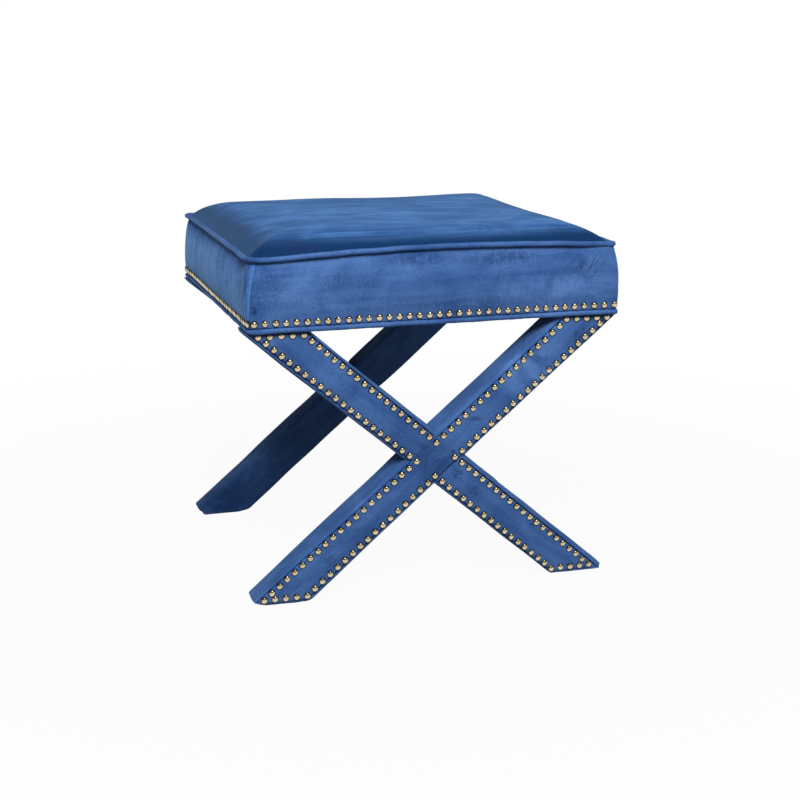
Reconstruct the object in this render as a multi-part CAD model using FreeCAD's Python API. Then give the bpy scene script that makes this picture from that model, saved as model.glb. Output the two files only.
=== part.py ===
import FreeCAD, Part
import math
import os

# A free-standing upholstered bench seat on two crossed-leg frames, in millimetres.
# The origin is on the floor under the middle of the seat, +Z is up and the front faces -Y.

Vector = FreeCAD.Vector
UP = Vector(0, 0, 1)
INWARD = Vector(0, 1, 0)

# Seat plan, measured over the velvet at the nail band
seat_width = 506.0
seat_depth = 454.0
seat_corner_radius = 11.0

# Cloth and wadding
velvet = 1.2
soft_clearance = 0.3
seam_gap = 0.3

# Wooden seat frame
rail_height = 38.0
end_rail_width = 45.0
side_rail_width = 22.0
batten_width = 44.0
batten_height = 25.0
corner_block_leg = 36.0
corner_block_height = 30.0
deck_thickness = 9.0

# Dowels of the seat frame
dowel_diameter = 8.0
dowel_length = 40.0
dowel_clearance = 0.1
rail_dowel_heights = (20.0, 31.0)
batten_dowel_spacing = 22.0

# Deck screws
screw_diameter = 4.0
screw_head_diameter = 8.0
screw_head_height = 2.5
screw_length = 30.0
screw_clearance = 0.1
end_rail_screws = 4
end_screw_bolt_gap = 27.0
side_screw_joint_gap = 90.0
side_screw_inset = 14.0

# Foam, wadding and crowned top
piping_above_deck = 46.2
seat_wadding_thickness = 6.0
crown_rise = 29.5
crown_border_drop = 1.5
crown_shoulder = 15.0
crown_shoulder_share = 0.82
crown_flat_half = 45.0
crown_steps = 11
crown_border_corner = 2.5
crown_corner_growth = 0.15

# Boxing and piping
boxing_band_height = 20.0
boxing_bulge = 2.0
boxing_draw_in = 5.0
piping_radius = 3.5
piping_cord_radius = 2.3
piping_set_in = 6.0
piping_corner_radius = 6.0

# Bottom welt, dust cover and staples
welt_radius = 3.5
welt_cord_radius = 2.3
welt_proud = 1.0
welt_tape_thickness = 1.0
welt_tape_width = 15.0
dust_cover_thickness = 0.8
dust_cover_set_in = 7.0
staple_wire = 0.9
staple_crown = 10.0
staple_depth = 6.0
staple_set_in = 13.0
staple_clearance = 0.1
staple_count = 7
staple_leg_gap = 26.0

# Dome nails
nail_head_diameter = 9.5
nail_dome_height = 3.0
nail_shank_diameter = 1.8
nail_point_length = 2.0
nail_clearance = 0.1
nail_pitch = 13.5
seat_nail_shank_length = 7.5
seat_nail_rise = 6.0
corner_nail_gap = 0.6

# Crossed legs
glide_height = 3.0
leg_height = 368.5
leg_width = 55.0
leg_depth = 44.0
leg_set_in = 6.4
leg_centre_inset = 37.0
leg_tip_radius = 5.5
leg_heel_radius = 12.0
leg_edge_radius = 4.0
leg_pad_thickness = 1.5
lap_clearance = 0.2
panel_lip = 4.5
panel_groove = 0.8
panel_proud = 0.6
panel_top_gap = 3.0
panel_corner_radius = 1.2
leg_nail_shank_length = 12.0
leg_nail_inset = 10.0
leg_nail_end_inset = 9.0

# Leg bolts, washers, inserts and lap screws
bolt_diameter = 8.0
bolt_length = 55.0
bolt_head_across = 13.0
bolt_head_height = 5.5
bolt_clearance = 0.5
bolt_places = (10.0, 33.0)
counterbore_depth = 8.0
counterbore_diameter = 20.0
washer_diameter = 17.0
washer_thickness = 1.6
insert_diameter = 12.0
insert_length = 24.0
insert_clearance = 0.05
lap_screw_spacing = 24.0

# Glides
glide_diameter = 22.0
glide_chamfer = 1.0
glide_pin_diameter = 2.5
glide_pin_length = 16.0
glide_clearance = 0.1

# Heights that follow from the sizes above
leg_top = glide_height + leg_height
welt_height = leg_top + welt_radius
tape_bottom = leg_top + dust_cover_thickness
rail_bottom = tape_bottom + welt_tape_thickness
rail_top = rail_bottom + rail_height
deck_top = rail_top + deck_thickness
boxing_bottom = welt_height + welt_radius + soft_clearance
rebate_top = boxing_bottom + velvet
piping_height = deck_top + piping_above_deck
boxing_top = piping_height - piping_radius - soft_clearance
band_top = boxing_bottom + boxing_band_height
bulge_height = (band_top + boxing_top) / 2
seat_nail_height = boxing_bottom + seat_nail_rise

# Inset of the first seat nail, so that the shanks of two sides stay apart in a corner
seat_nail_end_inset = seat_nail_shank_length + nail_shank_diameter / 2 + corner_nail_gap

# Offsets from the velvet's plan, where outwards is positive
frame_offset = -(velvet + soft_clearance)
welt_offset = welt_proud - welt_radius
rebate_offset = welt_offset - welt_radius - soft_clearance
piping_offset = -piping_set_in
crown_offset = piping_offset - piping_radius - soft_clearance

# Places and angle of the crossed legs
leg_centre = seat_width / 2 - leg_centre_inset
leg_front = -(seat_depth / 2 - leg_set_in)
leg_back = leg_front + leg_depth
crossing_height = glide_height + leg_height / 2
leg_angle = math.atan2(leg_height, 2 * leg_centre)
leg_sine = math.sin(leg_angle)
leg_cosine = math.cos(leg_angle)
leg_half = leg_width / 2
wrap_inner = velvet
pad_outer = velvet + soft_clearance
pad_inner = pad_outer + leg_pad_thickness
core_offset = pad_inner + soft_clearance
lap_plane = (leg_front + leg_back) / 2
leg_top_inner = leg_centre - leg_half / leg_sine
bolt_end = rail_top - counterbore_depth + washer_thickness - bolt_length

# Overshoot of cutting shapes, and the tolerance for picking edges
beyond = leg_width
touching = 0.01

# Each side of the seat: its turn about the upright axis, its length and its reach from the middle
SIDES = {
    "front": (0, seat_width, seat_depth / 2),
    "right": (90, seat_depth, seat_width / 2),
    "back": (180, seat_width, seat_depth / 2),
    "left": (270, seat_depth, seat_width / 2),
}


# General shapes

def block(x0, x1, y0, y1, z0, z1):
    """Makes an upright block between two corners."""
    return Part.makeBox(x1 - x0, y1 - y0, z1 - z0, Vector(x0, y0, z0))


def rod(radius, start, direction, length):
    """Makes a round bar from a start point."""
    return Part.makeCylinder(radius, length, start, direction)


def turned(shape, angle):
    """Copies a shape, turned about the upright axis through the origin."""
    copy = shape.copy()
    copy.rotate(Vector(0, 0, 0), UP, angle)
    return copy


def mirrored(shape):
    """Copies a shape, mirrored from left to right."""
    return shape.mirror(Vector(0, 0, 0), Vector(1, 0, 0))


def rounded_wire(corners, radii):
    """Joins corners with straight edges and rounds each corner with its own radius."""
    starts, ends, middles = [], [], []
    for index, (corner, radius) in enumerate(zip(corners, radii)):
        before = (corners[index - 1] - corner).normalize()
        after = (corners[(index + 1) % len(corners)] - corner).normalize()
        half_angle = before.getAngle(after) / 2
        trim = radius / math.tan(half_angle)
        bisector = (before + after).normalize()
        starts.append(corner + before * trim)
        ends.append(corner + after * trim)
        middles.append(corner + bisector * (radius / math.sin(half_angle) - radius))
    edges = []
    for index, radius in enumerate(radii):
        if radius > 0:
            edges.append(Part.Arc(starts[index], middles[index], ends[index]).toShape())
        following = (index + 1) % len(corners)
        edges.append(Part.makeLine(ends[index], starts[following]))
    return Part.Wire(edges)


def plan_wire(offset, height, corner_radius=None):
    """Draws the seat's plan at a height, grown outwards by an offset."""
    half_x = seat_width / 2 + offset
    half_y = seat_depth / 2 + offset
    radius = max(seat_corner_radius + offset, 0) if corner_radius is None else corner_radius
    corners = [
        Vector(-half_x, -half_y, height),
        Vector(half_x, -half_y, height),
        Vector(half_x, half_y, height),
        Vector(-half_x, half_y, height),
    ]
    return rounded_wire(corners, [radius] * 4)


def plate(offset, bottom, top):
    """Makes a flat plate of the seat's plan, grown outwards by an offset."""
    return Part.Face(plan_wire(offset, bottom)).extrude(Vector(0, 0, top - bottom))


def cord_ring(offset, height, radius, corner_radius):
    """Bends a round cord into a ring that follows the seat's plan."""
    pieces = []
    for angle, length, reach in SIDES.values():
        half = length / 2 + offset - corner_radius
        line = -(reach + offset)
        bar = rod(radius, Vector(-half, line, height), Vector(1, 0, 0), 2 * half)
        circle = Part.makeCircle(radius, Vector(half, line, height), Vector(1, 0, 0))
        bend = Part.Face(Part.Wire(circle)).revolve(Vector(half, line + corner_radius, height), UP, 90)
        pieces += [turned(bar, angle), turned(bend, angle)]
    return pieces[0].fuse(pieces[1:]).removeSplitter()


def screw(length, point, direction):
    """Makes a countersunk wood screw with its flat head at a point."""
    head = Part.makeCone(screw_head_diameter / 2, screw_diameter / 2, screw_head_height, point, direction)
    shank_start = point + direction * screw_head_height
    shank = rod(screw_diameter / 2, shank_start, direction, length - screw_head_height)
    return head.fuse(shank).removeSplitter()


def screw_hole(length, point, direction):
    """Makes the countersunk hole that a screw sits in."""
    grown = screw_clearance
    head = Part.makeCone(screw_head_diameter / 2 + grown, screw_diameter / 2 + grown,
                         screw_head_height, point, direction)
    shank = rod(screw_diameter / 2 + grown, point, direction, length + grown)
    return head.fuse(shank)


def solids_of(shape):
    """Gives the one solid of a shape, or all its solids as a group."""
    if len(shape.Solids) == 1:
        return shape.Solids[0]
    return Part.makeCompound(shape.Solids)


def carved(shape, tools):
    """Cuts every tool that reaches a shape out of it."""
    near = [tool for tool in tools if tool.BoundBox.intersect(shape.BoundBox)]
    if not near:
        return shape
    return solids_of(shape.cut(near))


# Dome nails

def dome_nail(shank_length):
    """Makes one nail at the origin, driven along the inward direction."""
    head = nail_head_diameter / 2
    shank = nail_shank_diameter / 2
    point_start = shank_length - nail_point_length
    dome_radius = (head ** 2 + nail_dome_height ** 2) / (2 * nail_dome_height)
    half_rise = math.asin(head / dome_radius) / 2
    dome_middle = Vector(dome_radius * math.sin(half_rise),
                         dome_radius * (1 - math.cos(half_rise)) - nail_dome_height, 0)
    top = Vector(0, -nail_dome_height, 0)
    rim = Vector(head, 0, 0)
    neck = Vector(shank, 0, 0)
    end = Vector(shank, point_start, 0)
    point = Vector(0, shank_length, 0)
    outline = [
        Part.Arc(top, dome_middle, rim).toShape(),
        Part.makeLine(rim, neck),
        Part.makeLine(neck, end),
        Part.makeLine(end, point),
        Part.makeLine(point, top),
    ]
    return Part.Face(Part.Wire(outline)).revolve(Vector(0, 0, 0), INWARD, 360)


def nails_at(points, shank_length):
    """Makes a group of nails, each with the underside of its head at a point."""
    nails = []
    for point in points:
        nail = dome_nail(shank_length)
        nail.translate(point)
        nails.append(nail)
    return Part.makeCompound(nails)


def nail_holes(points, shank_length):
    """Makes the holes for the shanks of nails at the given points."""
    radius = nail_shank_diameter / 2 + nail_clearance
    return [rod(radius, point - INWARD * nail_dome_height, INWARD, nail_dome_height + shank_length)
            for point in points]


def spread(start, end, pitch):
    """Gives evenly spaced points from start to end, as near to a pitch as they fit."""
    gaps = max(1, round((end - start).Length / pitch))
    return [start + (end - start) * (index / gaps) for index in range(gaps + 1)]


def seat_nail_points(length, reach):
    """Gives the nail places along one side of the seat, as for the front."""
    end = length / 2 - seat_nail_end_inset
    return spread(Vector(-end, -reach, seat_nail_height), Vector(end, -reach, seat_nail_height), nail_pitch)


# Seat frame

def dowel_places():
    """Gives the start of each dowel, which all lie from front to back."""
    rail_x = seat_width / 2 + frame_offset - side_rail_width / 2
    joint_y = seat_depth / 2 + frame_offset - end_rail_width
    places = []
    for sign in (-1, 1):
        start_y = sign * joint_y - dowel_length / 2
        for x in (-rail_x, rail_x):
            places += [Vector(x, start_y, rail_bottom + rise) for rise in rail_dowel_heights]
        batten_z = rail_top - batten_height / 2
        places += [Vector(x, start_y, batten_z) for x in (-batten_dowel_spacing / 2, batten_dowel_spacing / 2)]
    return places


def deck_screw_places():
    """Gives the place of each deck screw's head."""
    end_x = min(abs(x) for x in bolt_xs()) - end_screw_bolt_gap
    end_y = seat_depth / 2 + frame_offset - end_rail_width / 2
    side_x = seat_width / 2 + frame_offset - side_screw_inset
    side_y = seat_depth / 2 + frame_offset - end_rail_width - side_screw_joint_gap
    pitch = 2 * end_x / (end_rail_screws - 1)
    xs = [-end_x + index * pitch for index in range(end_rail_screws)]
    places = [Vector(x, y, deck_top) for y in (-end_y, end_y) for x in xs]
    places += [Vector(x, y, deck_top) for x in (-side_x, side_x) for y in (-side_y, side_y)]
    return places


def bolt_xs():
    """Gives the distances of the leg bolts from the middle, left and right."""
    core_length = (leg_width - 2 * core_offset) / leg_sine
    inner = leg_centre - core_length / 2
    return [sign * (inner + place) for sign in (-1, 1) for place in bolt_places]


def bolt_points():
    """Gives the place of each leg bolt, at the floor of its counterbore."""
    height = rail_top - counterbore_depth
    return [Vector(x, sign * lap_plane, height) for sign in (1, -1) for x in bolt_xs()]


def staple_places():
    """Gives the middle of each staple along the four sides, with its side's turn."""
    ends = {"front": leg_top_inner, "back": leg_top_inner, "left": -leg_back, "right": -leg_back}
    places = []
    for side, (angle, length, reach) in SIDES.items():
        end = ends[side] - staple_leg_gap
        pitch = 2 * end / (staple_count - 1)
        for index in range(staple_count):
            places.append((angle, Vector(-end + index * pitch, -(reach - staple_set_in), leg_top)))
    return places


def staple(place):
    """Makes one square-wire staple, its crown under the dust cover and its two legs upwards."""
    outer = (staple_crown + staple_wire) / 2
    inner = (staple_crown - staple_wire) / 2
    outline = [
        (-outer, -staple_wire), (outer, -staple_wire), (outer, staple_depth), (inner, staple_depth),
        (inner, 0), (-inner, 0), (-inner, staple_depth), (-outer, staple_depth), (-outer, -staple_wire),
    ]
    corners = [place + Vector(x, -staple_wire / 2, z) for x, z in outline]
    return Part.Face(Part.makePolygon(corners)).extrude(INWARD * staple_wire)


def frame_cuts():
    """Gives every hole that fasteners need in the seat frame."""
    cuts = [rod(dowel_diameter / 2 + dowel_clearance, place, INWARD, dowel_length) for place in dowel_places()]
    cuts += [screw_hole(screw_length, place, -UP) for place in deck_screw_places()]
    for point in bolt_points():
        cuts.append(rod(bolt_diameter / 2 + bolt_clearance, point, -UP, rail_height))
        cuts.append(rod(counterbore_diameter / 2, point, UP, counterbore_depth))
    for angle, length, reach in SIDES.values():
        holes = nail_holes(seat_nail_points(length, reach), seat_nail_shank_length)
        cuts += [turned(hole, angle) for hole in holes]
    return cuts + staple_cuts()


def staple_cuts():
    """Gives the holes for the legs of the staples."""
    radius = math.hypot(staple_wire, staple_wire) / 2 + staple_clearance
    cuts = []
    for angle, place in staple_places():
        for x in (-staple_crown / 2, staple_crown / 2):
            start = place + Vector(x, 0, -staple_wire)
            hole = rod(radius, start, UP, staple_wire + staple_depth + staple_clearance)
            cuts.append(turned(hole, angle))
    return cuts


def seat_frame():
    """Builds the rails, batten, blocks, deck, dowels and deck screws."""
    half_x = seat_width / 2 + frame_offset
    half_y = seat_depth / 2 + frame_offset
    inner_x = half_x - side_rail_width
    inner_y = half_y - end_rail_width
    outline = plate(frame_offset, rail_bottom, rail_top)
    rebate = plate(welt_proud, rail_bottom, rebate_top).cut(plate(rebate_offset, rail_bottom, rebate_top))
    cuts = frame_cuts()
    rails = {
        "seat_front_rail": block(-half_x, half_x, -half_y, -inner_y, rail_bottom, rail_top),
        "seat_back_rail": block(-half_x, half_x, inner_y, half_y, rail_bottom, rail_top),
        "seat_left_rail": block(-half_x, -inner_x, -inner_y, inner_y, rail_bottom, rail_top),
        "seat_right_rail": block(inner_x, half_x, -inner_y, inner_y, rail_bottom, rail_top),
    }
    nodes = {name: carved(solids_of(rail.common(outline).cut(rebate)), cuts) for name, rail in rails.items()}
    batten = block(-batten_width / 2, batten_width / 2, -inner_y, inner_y, rail_top - batten_height, rail_top)
    nodes["seat_centre_batten"] = carved(batten, cuts)
    nodes["corner_blocks"] = corner_blocks(inner_x, inner_y)
    nodes["seat_deck"] = carved(plate(frame_offset, rail_top, deck_top), cuts)
    dowels = [rod(dowel_diameter / 2, place, INWARD, dowel_length) for place in dowel_places()]
    nodes["rail_dowels"] = Part.makeCompound(dowels)
    screws = [screw(screw_length, place, -UP) for place in deck_screw_places()]
    nodes["deck_screws"] = Part.makeCompound(screws)
    return nodes


def corner_blocks(inner_x, inner_y):
    """Makes the glued triangular blocks in the four inner corners of the frame."""
    blocks = []
    for sign_x in (-1, 1):
        for sign_y in (-1, 1):
            corner = Vector(sign_x * inner_x, sign_y * inner_y, rail_top - corner_block_height)
            along_x = corner - Vector(sign_x * corner_block_leg, 0, 0)
            along_y = corner - Vector(0, sign_y * corner_block_leg, 0)
            triangle = Part.Face(Part.makePolygon([corner, along_x, along_y, corner]))
            blocks.append(triangle.extrude(Vector(0, 0, corner_block_height)))
    return Part.makeCompound(blocks)


# Cushion

def crown_insets():
    """Gives the distances in from the border of the crown's sections, closest at the border."""
    reach = seat_depth / 2 + crown_offset - crown_flat_half
    return [reach * (step / crown_steps) ** 2 for step in range(crown_steps + 1)]


def crown_share(inset):
    """Gives the share of the crown's rise at a distance in from its border."""
    half = seat_depth / 2 + crown_offset
    shoulder = 1 - math.exp(-inset / crown_shoulder)
    middle = 1 - (1 - inset / half) ** 2
    return crown_shoulder_share * shoulder + (1 - crown_shoulder_share) * middle


def crown_sections(shrink):
    """Gives the crown's rounded plans from border to top, drawn in by a thickness."""
    border = piping_height - crown_border_drop
    rise = crown_rise + crown_border_drop
    wires = []
    for inset in crown_insets():
        corner = crown_border_corner + crown_corner_growth * inset
        height = border + rise * crown_share(inset) - shrink
        wires.append(plan_wire(crown_offset - inset - shrink, height, corner))
    return wires


def crown_solid(shrink):
    """Lofts the crown down to its border, drawn in by a thickness."""
    wires = crown_sections(shrink)
    if shrink > 0:
        border = piping_height - crown_border_drop
        wires[0] = plan_wire(crown_offset - shrink, border, crown_border_corner)
    return Part.makeLoft(wires, True, True)


def cushion_solid(shrink):
    """Lofts the cushion from the deck to its crown, drawn in by a thickness from the velvet's outside."""
    deck_share = (deck_top - band_top) / (bulge_height - band_top)
    side_corner = max(seat_corner_radius - shrink, crown_border_corner)
    drop = shrink - velvet - soft_clearance
    sides = [
        plan_wire(boxing_bulge * deck_share - shrink, deck_top, side_corner),
        plan_wire(boxing_bulge - shrink, bulge_height, side_corner),
        plan_wire(-boxing_draw_in - shrink, boxing_top - drop, crown_border_corner),
    ]
    return Part.makeLoft(sides + crown_sections(shrink), True, True)


def cushion():
    """Builds the foam, its wadding and the velvet top panel."""
    wadding_shrink = velvet + soft_clearance
    foam_shrink = wadding_shrink + seat_wadding_thickness
    foam = cushion_solid(foam_shrink)
    wadding = cushion_solid(wadding_shrink).cut(foam)
    panel = crown_solid(0).cut(crown_solid(velvet))
    return {"seat_foam": foam, "seat_wadding": solids_of(wadding), "seat_top_panel": solids_of(panel)}


def boxing_profile(reach):
    """Draws the section of a side band: flat at the nails, bulged above and drawn in at the piping."""
    def outer(offset, height):
        return Vector(0, -(reach + offset), height)
    thickness = Vector(0, velvet, 0)
    bottom = outer(0, boxing_bottom)
    band = outer(0, band_top)
    bulge = outer(boxing_bulge, bulge_height)
    top = outer(-boxing_draw_in, boxing_top)
    edges = [
        Part.makeLine(bottom, band),
        Part.Arc(band, bulge, top).toShape(),
        Part.makeLine(top, top + thickness),
        Part.Arc(top + thickness, bulge + thickness, band + thickness).toShape(),
        Part.makeLine(band + thickness, bottom + thickness),
        Part.makeLine(bottom + thickness, bottom),
    ]
    return Part.Face(Part.Wire(edges))


def boxing(length, reach):
    """Makes one side band with half of each corner and a short return under the rail's rebate."""
    half = length / 2 - seat_corner_radius
    axis_y = -(reach - seat_corner_radius)
    profile = boxing_profile(reach)
    profile.translate(Vector(-half, 0, 0))
    left = profile.revolve(Vector(-half, axis_y, 0), UP, -45)
    straight = profile.extrude(Vector(2 * half, 0, 0))
    profile.translate(Vector(2 * half, 0, 0))
    right = profile.revolve(Vector(half, axis_y, 0), UP, 45)
    inner = -(reach + rebate_offset + soft_clearance)
    fold = block(-half, half, -reach, inner, boxing_bottom, rebate_top)
    return solids_of(straight.fuse([left, right, fold]).removeSplitter())


def seat_covers():
    """Builds the boxing, piping, welt, dust cover, staples and seat nails."""
    nodes = {}
    for side, (angle, length, reach) in SIDES.items():
        points = seat_nail_points(length, reach)
        holes = nail_holes(points, seat_nail_shank_length)
        nodes[side + "_boxing"] = turned(carved(boxing(length, reach), holes), angle)
        nodes[side + "_seat_nails"] = turned(nails_at(points, seat_nail_shank_length), angle)
    piping = cord_ring(piping_offset, piping_height, piping_radius, piping_corner_radius)
    piping_cord = cord_ring(piping_offset, piping_height, piping_cord_radius, piping_corner_radius)
    welt_cord = cord_ring(welt_offset, welt_height, welt_cord_radius, seat_corner_radius + welt_offset)
    nodes["top_piping"] = solids_of(piping.cut(piping_cord))
    nodes["top_piping_cord"] = piping_cord
    nodes["bottom_welt"] = carved(bottom_welt(welt_cord), staple_cuts())
    nodes["bottom_welt_cord"] = welt_cord
    dust_cuts = staple_cuts()
    radius = bolt_diameter / 2 + bolt_clearance
    dust_cuts += [rod(radius, point, -UP, rail_height) for point in bolt_points()]
    nodes["dust_cover"] = carved(plate(-dust_cover_set_in, leg_top, tape_bottom), dust_cuts)
    staples = [turned(staple(place), angle) for angle, place in staple_places()]
    nodes["dust_cover_staples"] = Part.makeCompound(staples)
    return nodes


def bottom_welt(cord):
    """Makes the welt's velvet roll with the tape that is held under the rails."""
    roll = cord_ring(welt_offset, welt_height, welt_radius, seat_corner_radius + welt_offset)
    tape_start = welt_offset - welt_cord_radius
    tape = plate(tape_start, tape_bottom, rail_bottom)
    tape = tape.cut(plate(tape_start - welt_tape_width, tape_bottom, rail_bottom))
    return solids_of(roll.fuse(tape).cut(cord))


# Crossed legs, modelled for the front frame; the arm that rises from left to right is modelled first

def arm_point(across, height):
    """Gives a point of the rising arm's face from its place across the arm and its height."""
    x = (height - crossing_height) * leg_cosine / leg_sine - across / leg_sine
    return Vector(x, leg_front, height)


def arm_face(half_width, foot, top, radii):
    """Draws the rising arm's outline between two level cuts and rounds its four corners."""
    corners = [
        arm_point(half_width, foot),
        arm_point(-half_width, foot),
        arm_point(-half_width, top),
        arm_point(half_width, top),
    ]
    return Part.Face(rounded_wire(corners, radii))


def arm_solid(offset):
    """Makes the rising arm, drawn in by an offset, with rounded edges and a level top."""
    half_width = leg_half - offset
    depth = leg_depth - 2 * offset
    foot = glide_height + offset
    radii = [leg_tip_radius - offset, leg_heel_radius - offset, 0, 0]
    face = arm_face(half_width, foot, leg_top + beyond, radii)
    face.translate(Vector(0, offset, 0))
    bar = face.extrude(Vector(0, depth, 0))
    sides = (leg_front + offset, leg_back - offset)
    edges = [edge for edge in bar.Edges
             if edge.BoundBox.YLength < touching and edge.BoundBox.ZMin < leg_top
             and min(abs(edge.CenterOfMass.y - side) for side in sides) < touching]
    bar = bar.makeFillet(leg_edge_radius - offset, edges)
    trim = block(-seat_width, seat_width, leg_front - leg_depth, leg_back + leg_depth, leg_top, leg_top + 2 * beyond)
    return solids_of(bar.cut([trim, top_tip_cut(half_width, leg_tip_radius - offset)]))


def top_tip_cut(half_width, radius):
    """Makes the cut that rounds the pointed outer corner at the top of the rising arm."""
    tip = arm_point(-half_width, leg_top)
    trim = radius / math.tan(leg_angle / 2)
    down = Vector(-leg_cosine, 0, -leg_sine)
    outward = Vector(leg_sine, 0, -leg_cosine)
    on_top = tip - Vector(trim, 0, 0)
    on_side = tip + down * trim
    centre = on_top - UP * radius
    middle = centre + (tip - centre).normalize() * radius
    edges = [
        Part.Arc(on_top, middle, on_side).toShape(),
        Part.makeLine(on_side, on_side + outward * radius),
        Part.makeLine(on_side + outward * radius, tip + outward * radius + Vector(beyond, 0, 0)),
        Part.makeLine(tip + outward * radius + Vector(beyond, 0, 0), tip + UP * beyond + Vector(beyond, 0, 0)),
        Part.makeLine(tip + UP * beyond + Vector(beyond, 0, 0), on_top + UP * beyond),
        Part.makeLine(on_top + UP * beyond, on_top),
    ]
    tool = Part.Face(Part.Wire(edges))
    tool.translate(Vector(0, -leg_depth, 0))
    return tool.extrude(Vector(0, 3 * leg_depth, 0))


def strip(half_width, y_start, y_end):
    """Makes an endless straight bar along the rising arm, for cuts at the crossing."""
    face = arm_face(half_width, glide_height - beyond, leg_top + beyond, [0, 0, 0, 0])
    face.translate(Vector(0, y_start - leg_front, 0))
    return face.extrude(Vector(0, y_end - y_start, 0))


def panel_blank(edge_gap, y_start, y_end):
    """Makes the outline of the rising arm's face panel, a gap in from the arm's edges."""
    corner = panel_corner_radius
    radii = [corner, leg_heel_radius - edge_gap, corner, corner]
    face = arm_face(leg_half - edge_gap, glide_height + edge_gap, leg_top - panel_top_gap, radii)
    face.translate(Vector(0, y_start - leg_front, 0))
    return face.extrude(Vector(0, y_end - y_start, 0))


def leg_nail_points():
    """Gives the nail places of the rising arm and those of the four corners of the crossing."""
    across = leg_half - leg_nail_inset
    face = Vector(0, -panel_proud, 0)
    foot = glide_height + leg_nail_end_inset
    top = leg_top - leg_nail_end_inset
    side = across / leg_sine
    rise = across / leg_cosine
    corners = [
        Vector(-side, leg_front, crossing_height),
        Vector(0, leg_front, crossing_height - rise),
        Vector(0, leg_front, crossing_height + rise),
        Vector(side, leg_front, crossing_height),
    ]
    ends = [arm_point(across, foot), arm_point(-across, foot), arm_point(across, top), arm_point(-across, top)]
    points = []
    for end, corner in zip(ends, corners):
        points += spread(end, corner, nail_pitch)[:-1]
    for first, last in ((ends[0], ends[1]), (ends[2], ends[3])):
        points += spread(first, last, nail_pitch)[1:-1]
    return [point + face for point in points], [point + face for point in corners]


def reflected(points):
    """Mirrors points from left to right."""
    return [Vector(-point.x, point.y, point.z) for point in points]


def lap_screw_points():
    """Gives the places of the screws that hold the front half-lap, at the back of the falling core."""
    return [Vector(x, leg_back - core_offset, crossing_height)
            for x in (-lap_screw_spacing / 2, lap_screw_spacing / 2)]


def glide_points():
    """Gives the places of the two glides of the front frame on the floor."""
    return [Vector(x, lap_plane, 0) for x in (-leg_centre, leg_centre)]


def core_cuts():
    """Gives the holes for inserts, lap screws and glide pins in the front frame's cores."""
    cuts = []
    for x in bolt_xs():
        mouth = Vector(x, lap_plane, leg_top)
        cuts.append(rod(insert_diameter / 2 + insert_clearance, mouth, -UP, insert_length))
        cuts.append(rod(bolt_diameter / 2 + bolt_clearance, mouth, -UP, leg_top - bolt_end + bolt_clearance))
    cuts += [screw_hole(screw_length, point, -INWARD) for point in lap_screw_points()]
    return cuts + glide_pin_cuts()


def glide_pin_cuts():
    """Gives the holes for the glide pins."""
    radius = glide_pin_diameter / 2 + glide_clearance
    return [rod(radius, point, UP, glide_height + glide_pin_length + glide_clearance) for point in glide_points()]


def front_legs():
    """Builds the cores, pads, wraps and face panels of the two arms of the front frame."""
    rising_points, corner_points = leg_nail_points()
    points = rising_points + reflected(rising_points) + corner_points
    holes = nail_holes(points, leg_nail_shank_length)
    far_front = leg_front - leg_depth
    far_back = leg_back + leg_depth

    core = arm_solid(core_offset)
    pad = arm_solid(pad_outer).cut(arm_solid(pad_inner))
    wrap = arm_solid(0).cut(arm_solid(wrap_inner))
    recess = panel_blank(panel_lip, leg_front - velvet, leg_front + velvet + soft_clearance / 2)
    wrap = wrap.cut(recess)

    core_strip = leg_half - core_offset + lap_clearance
    rising_core = core.cut(mirrored(strip(core_strip, lap_plane, far_back)))
    falling_core = mirrored(core).cut(strip(core_strip, far_front, lap_plane))

    pad_strip = leg_half - pad_outer + soft_clearance
    rising_pad = pad.cut(mirrored(strip(pad_strip, leg_front + pad_inner, far_back)))
    falling_pad = mirrored(pad).cut(strip(pad_strip, far_front, leg_back - pad_inner))

    wrap_strip = leg_half + soft_clearance
    rising_wrap = wrap.cut(mirrored(strip(wrap_strip, far_front, far_back)))
    falling_wrap = mirrored(wrap).cut(strip(wrap_strip, far_front, leg_back - velvet))

    rising_panel, falling_panel = face_panels()
    cuts = core_cuts()
    pin_cuts = glide_pin_cuts()
    return {
        "rising": {
            "core": carved(solids_of(rising_core), holes + cuts),
            "pad": carved(solids_of(rising_pad), holes + pin_cuts),
            "wrap": carved(solids_of(rising_wrap), pin_cuts),
            "panel": carved(rising_panel, holes),
        },
        "falling": {
            "core": carved(solids_of(falling_core), holes + cuts),
            "pad": carved(solids_of(falling_pad), holes + pin_cuts),
            "wrap": carved(solids_of(falling_wrap), pin_cuts),
            "panel": carved(falling_panel, holes),
        },
        "nails": nails_at(points, leg_nail_shank_length),
    }


def face_panels():
    """Makes the rising arm's unbroken face panel and the two halves of the falling arm's."""
    start = leg_front - panel_proud
    end = leg_front + velvet
    gap = panel_lip + panel_groove
    blank = panel_blank(gap, start, end)
    panel_half = leg_half - gap
    ear_half = leg_half - seam_gap
    ears = mirrored(strip(ear_half, start, end)).cut(mirrored(strip(panel_half + seam_gap, start, end)))
    rising = blank.fuse(ears.common(strip(ear_half, start, end))).removeSplitter()
    falling = mirrored(blank).cut(strip(panel_half + seam_gap, start, end))
    return solids_of(rising), solids_of(falling)


def legs():
    """Builds both crossed frames, the back one as the front one turned half round."""
    front = front_legs()
    places = {
        "front_left_leg": ("rising", 0),
        "front_right_leg": ("falling", 0),
        "back_right_leg": ("rising", 180),
        "back_left_leg": ("falling", 180),
    }
    nodes = {}
    for leg, (arm, angle) in places.items():
        for layer, shape in front[arm].items():
            nodes[leg + "_" + layer] = turned(shape, angle)
    nodes["front_leg_nails"] = front["nails"]
    nodes["back_leg_nails"] = turned(front["nails"], 180)
    return nodes


# Fasteners of the legs and glides

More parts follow.
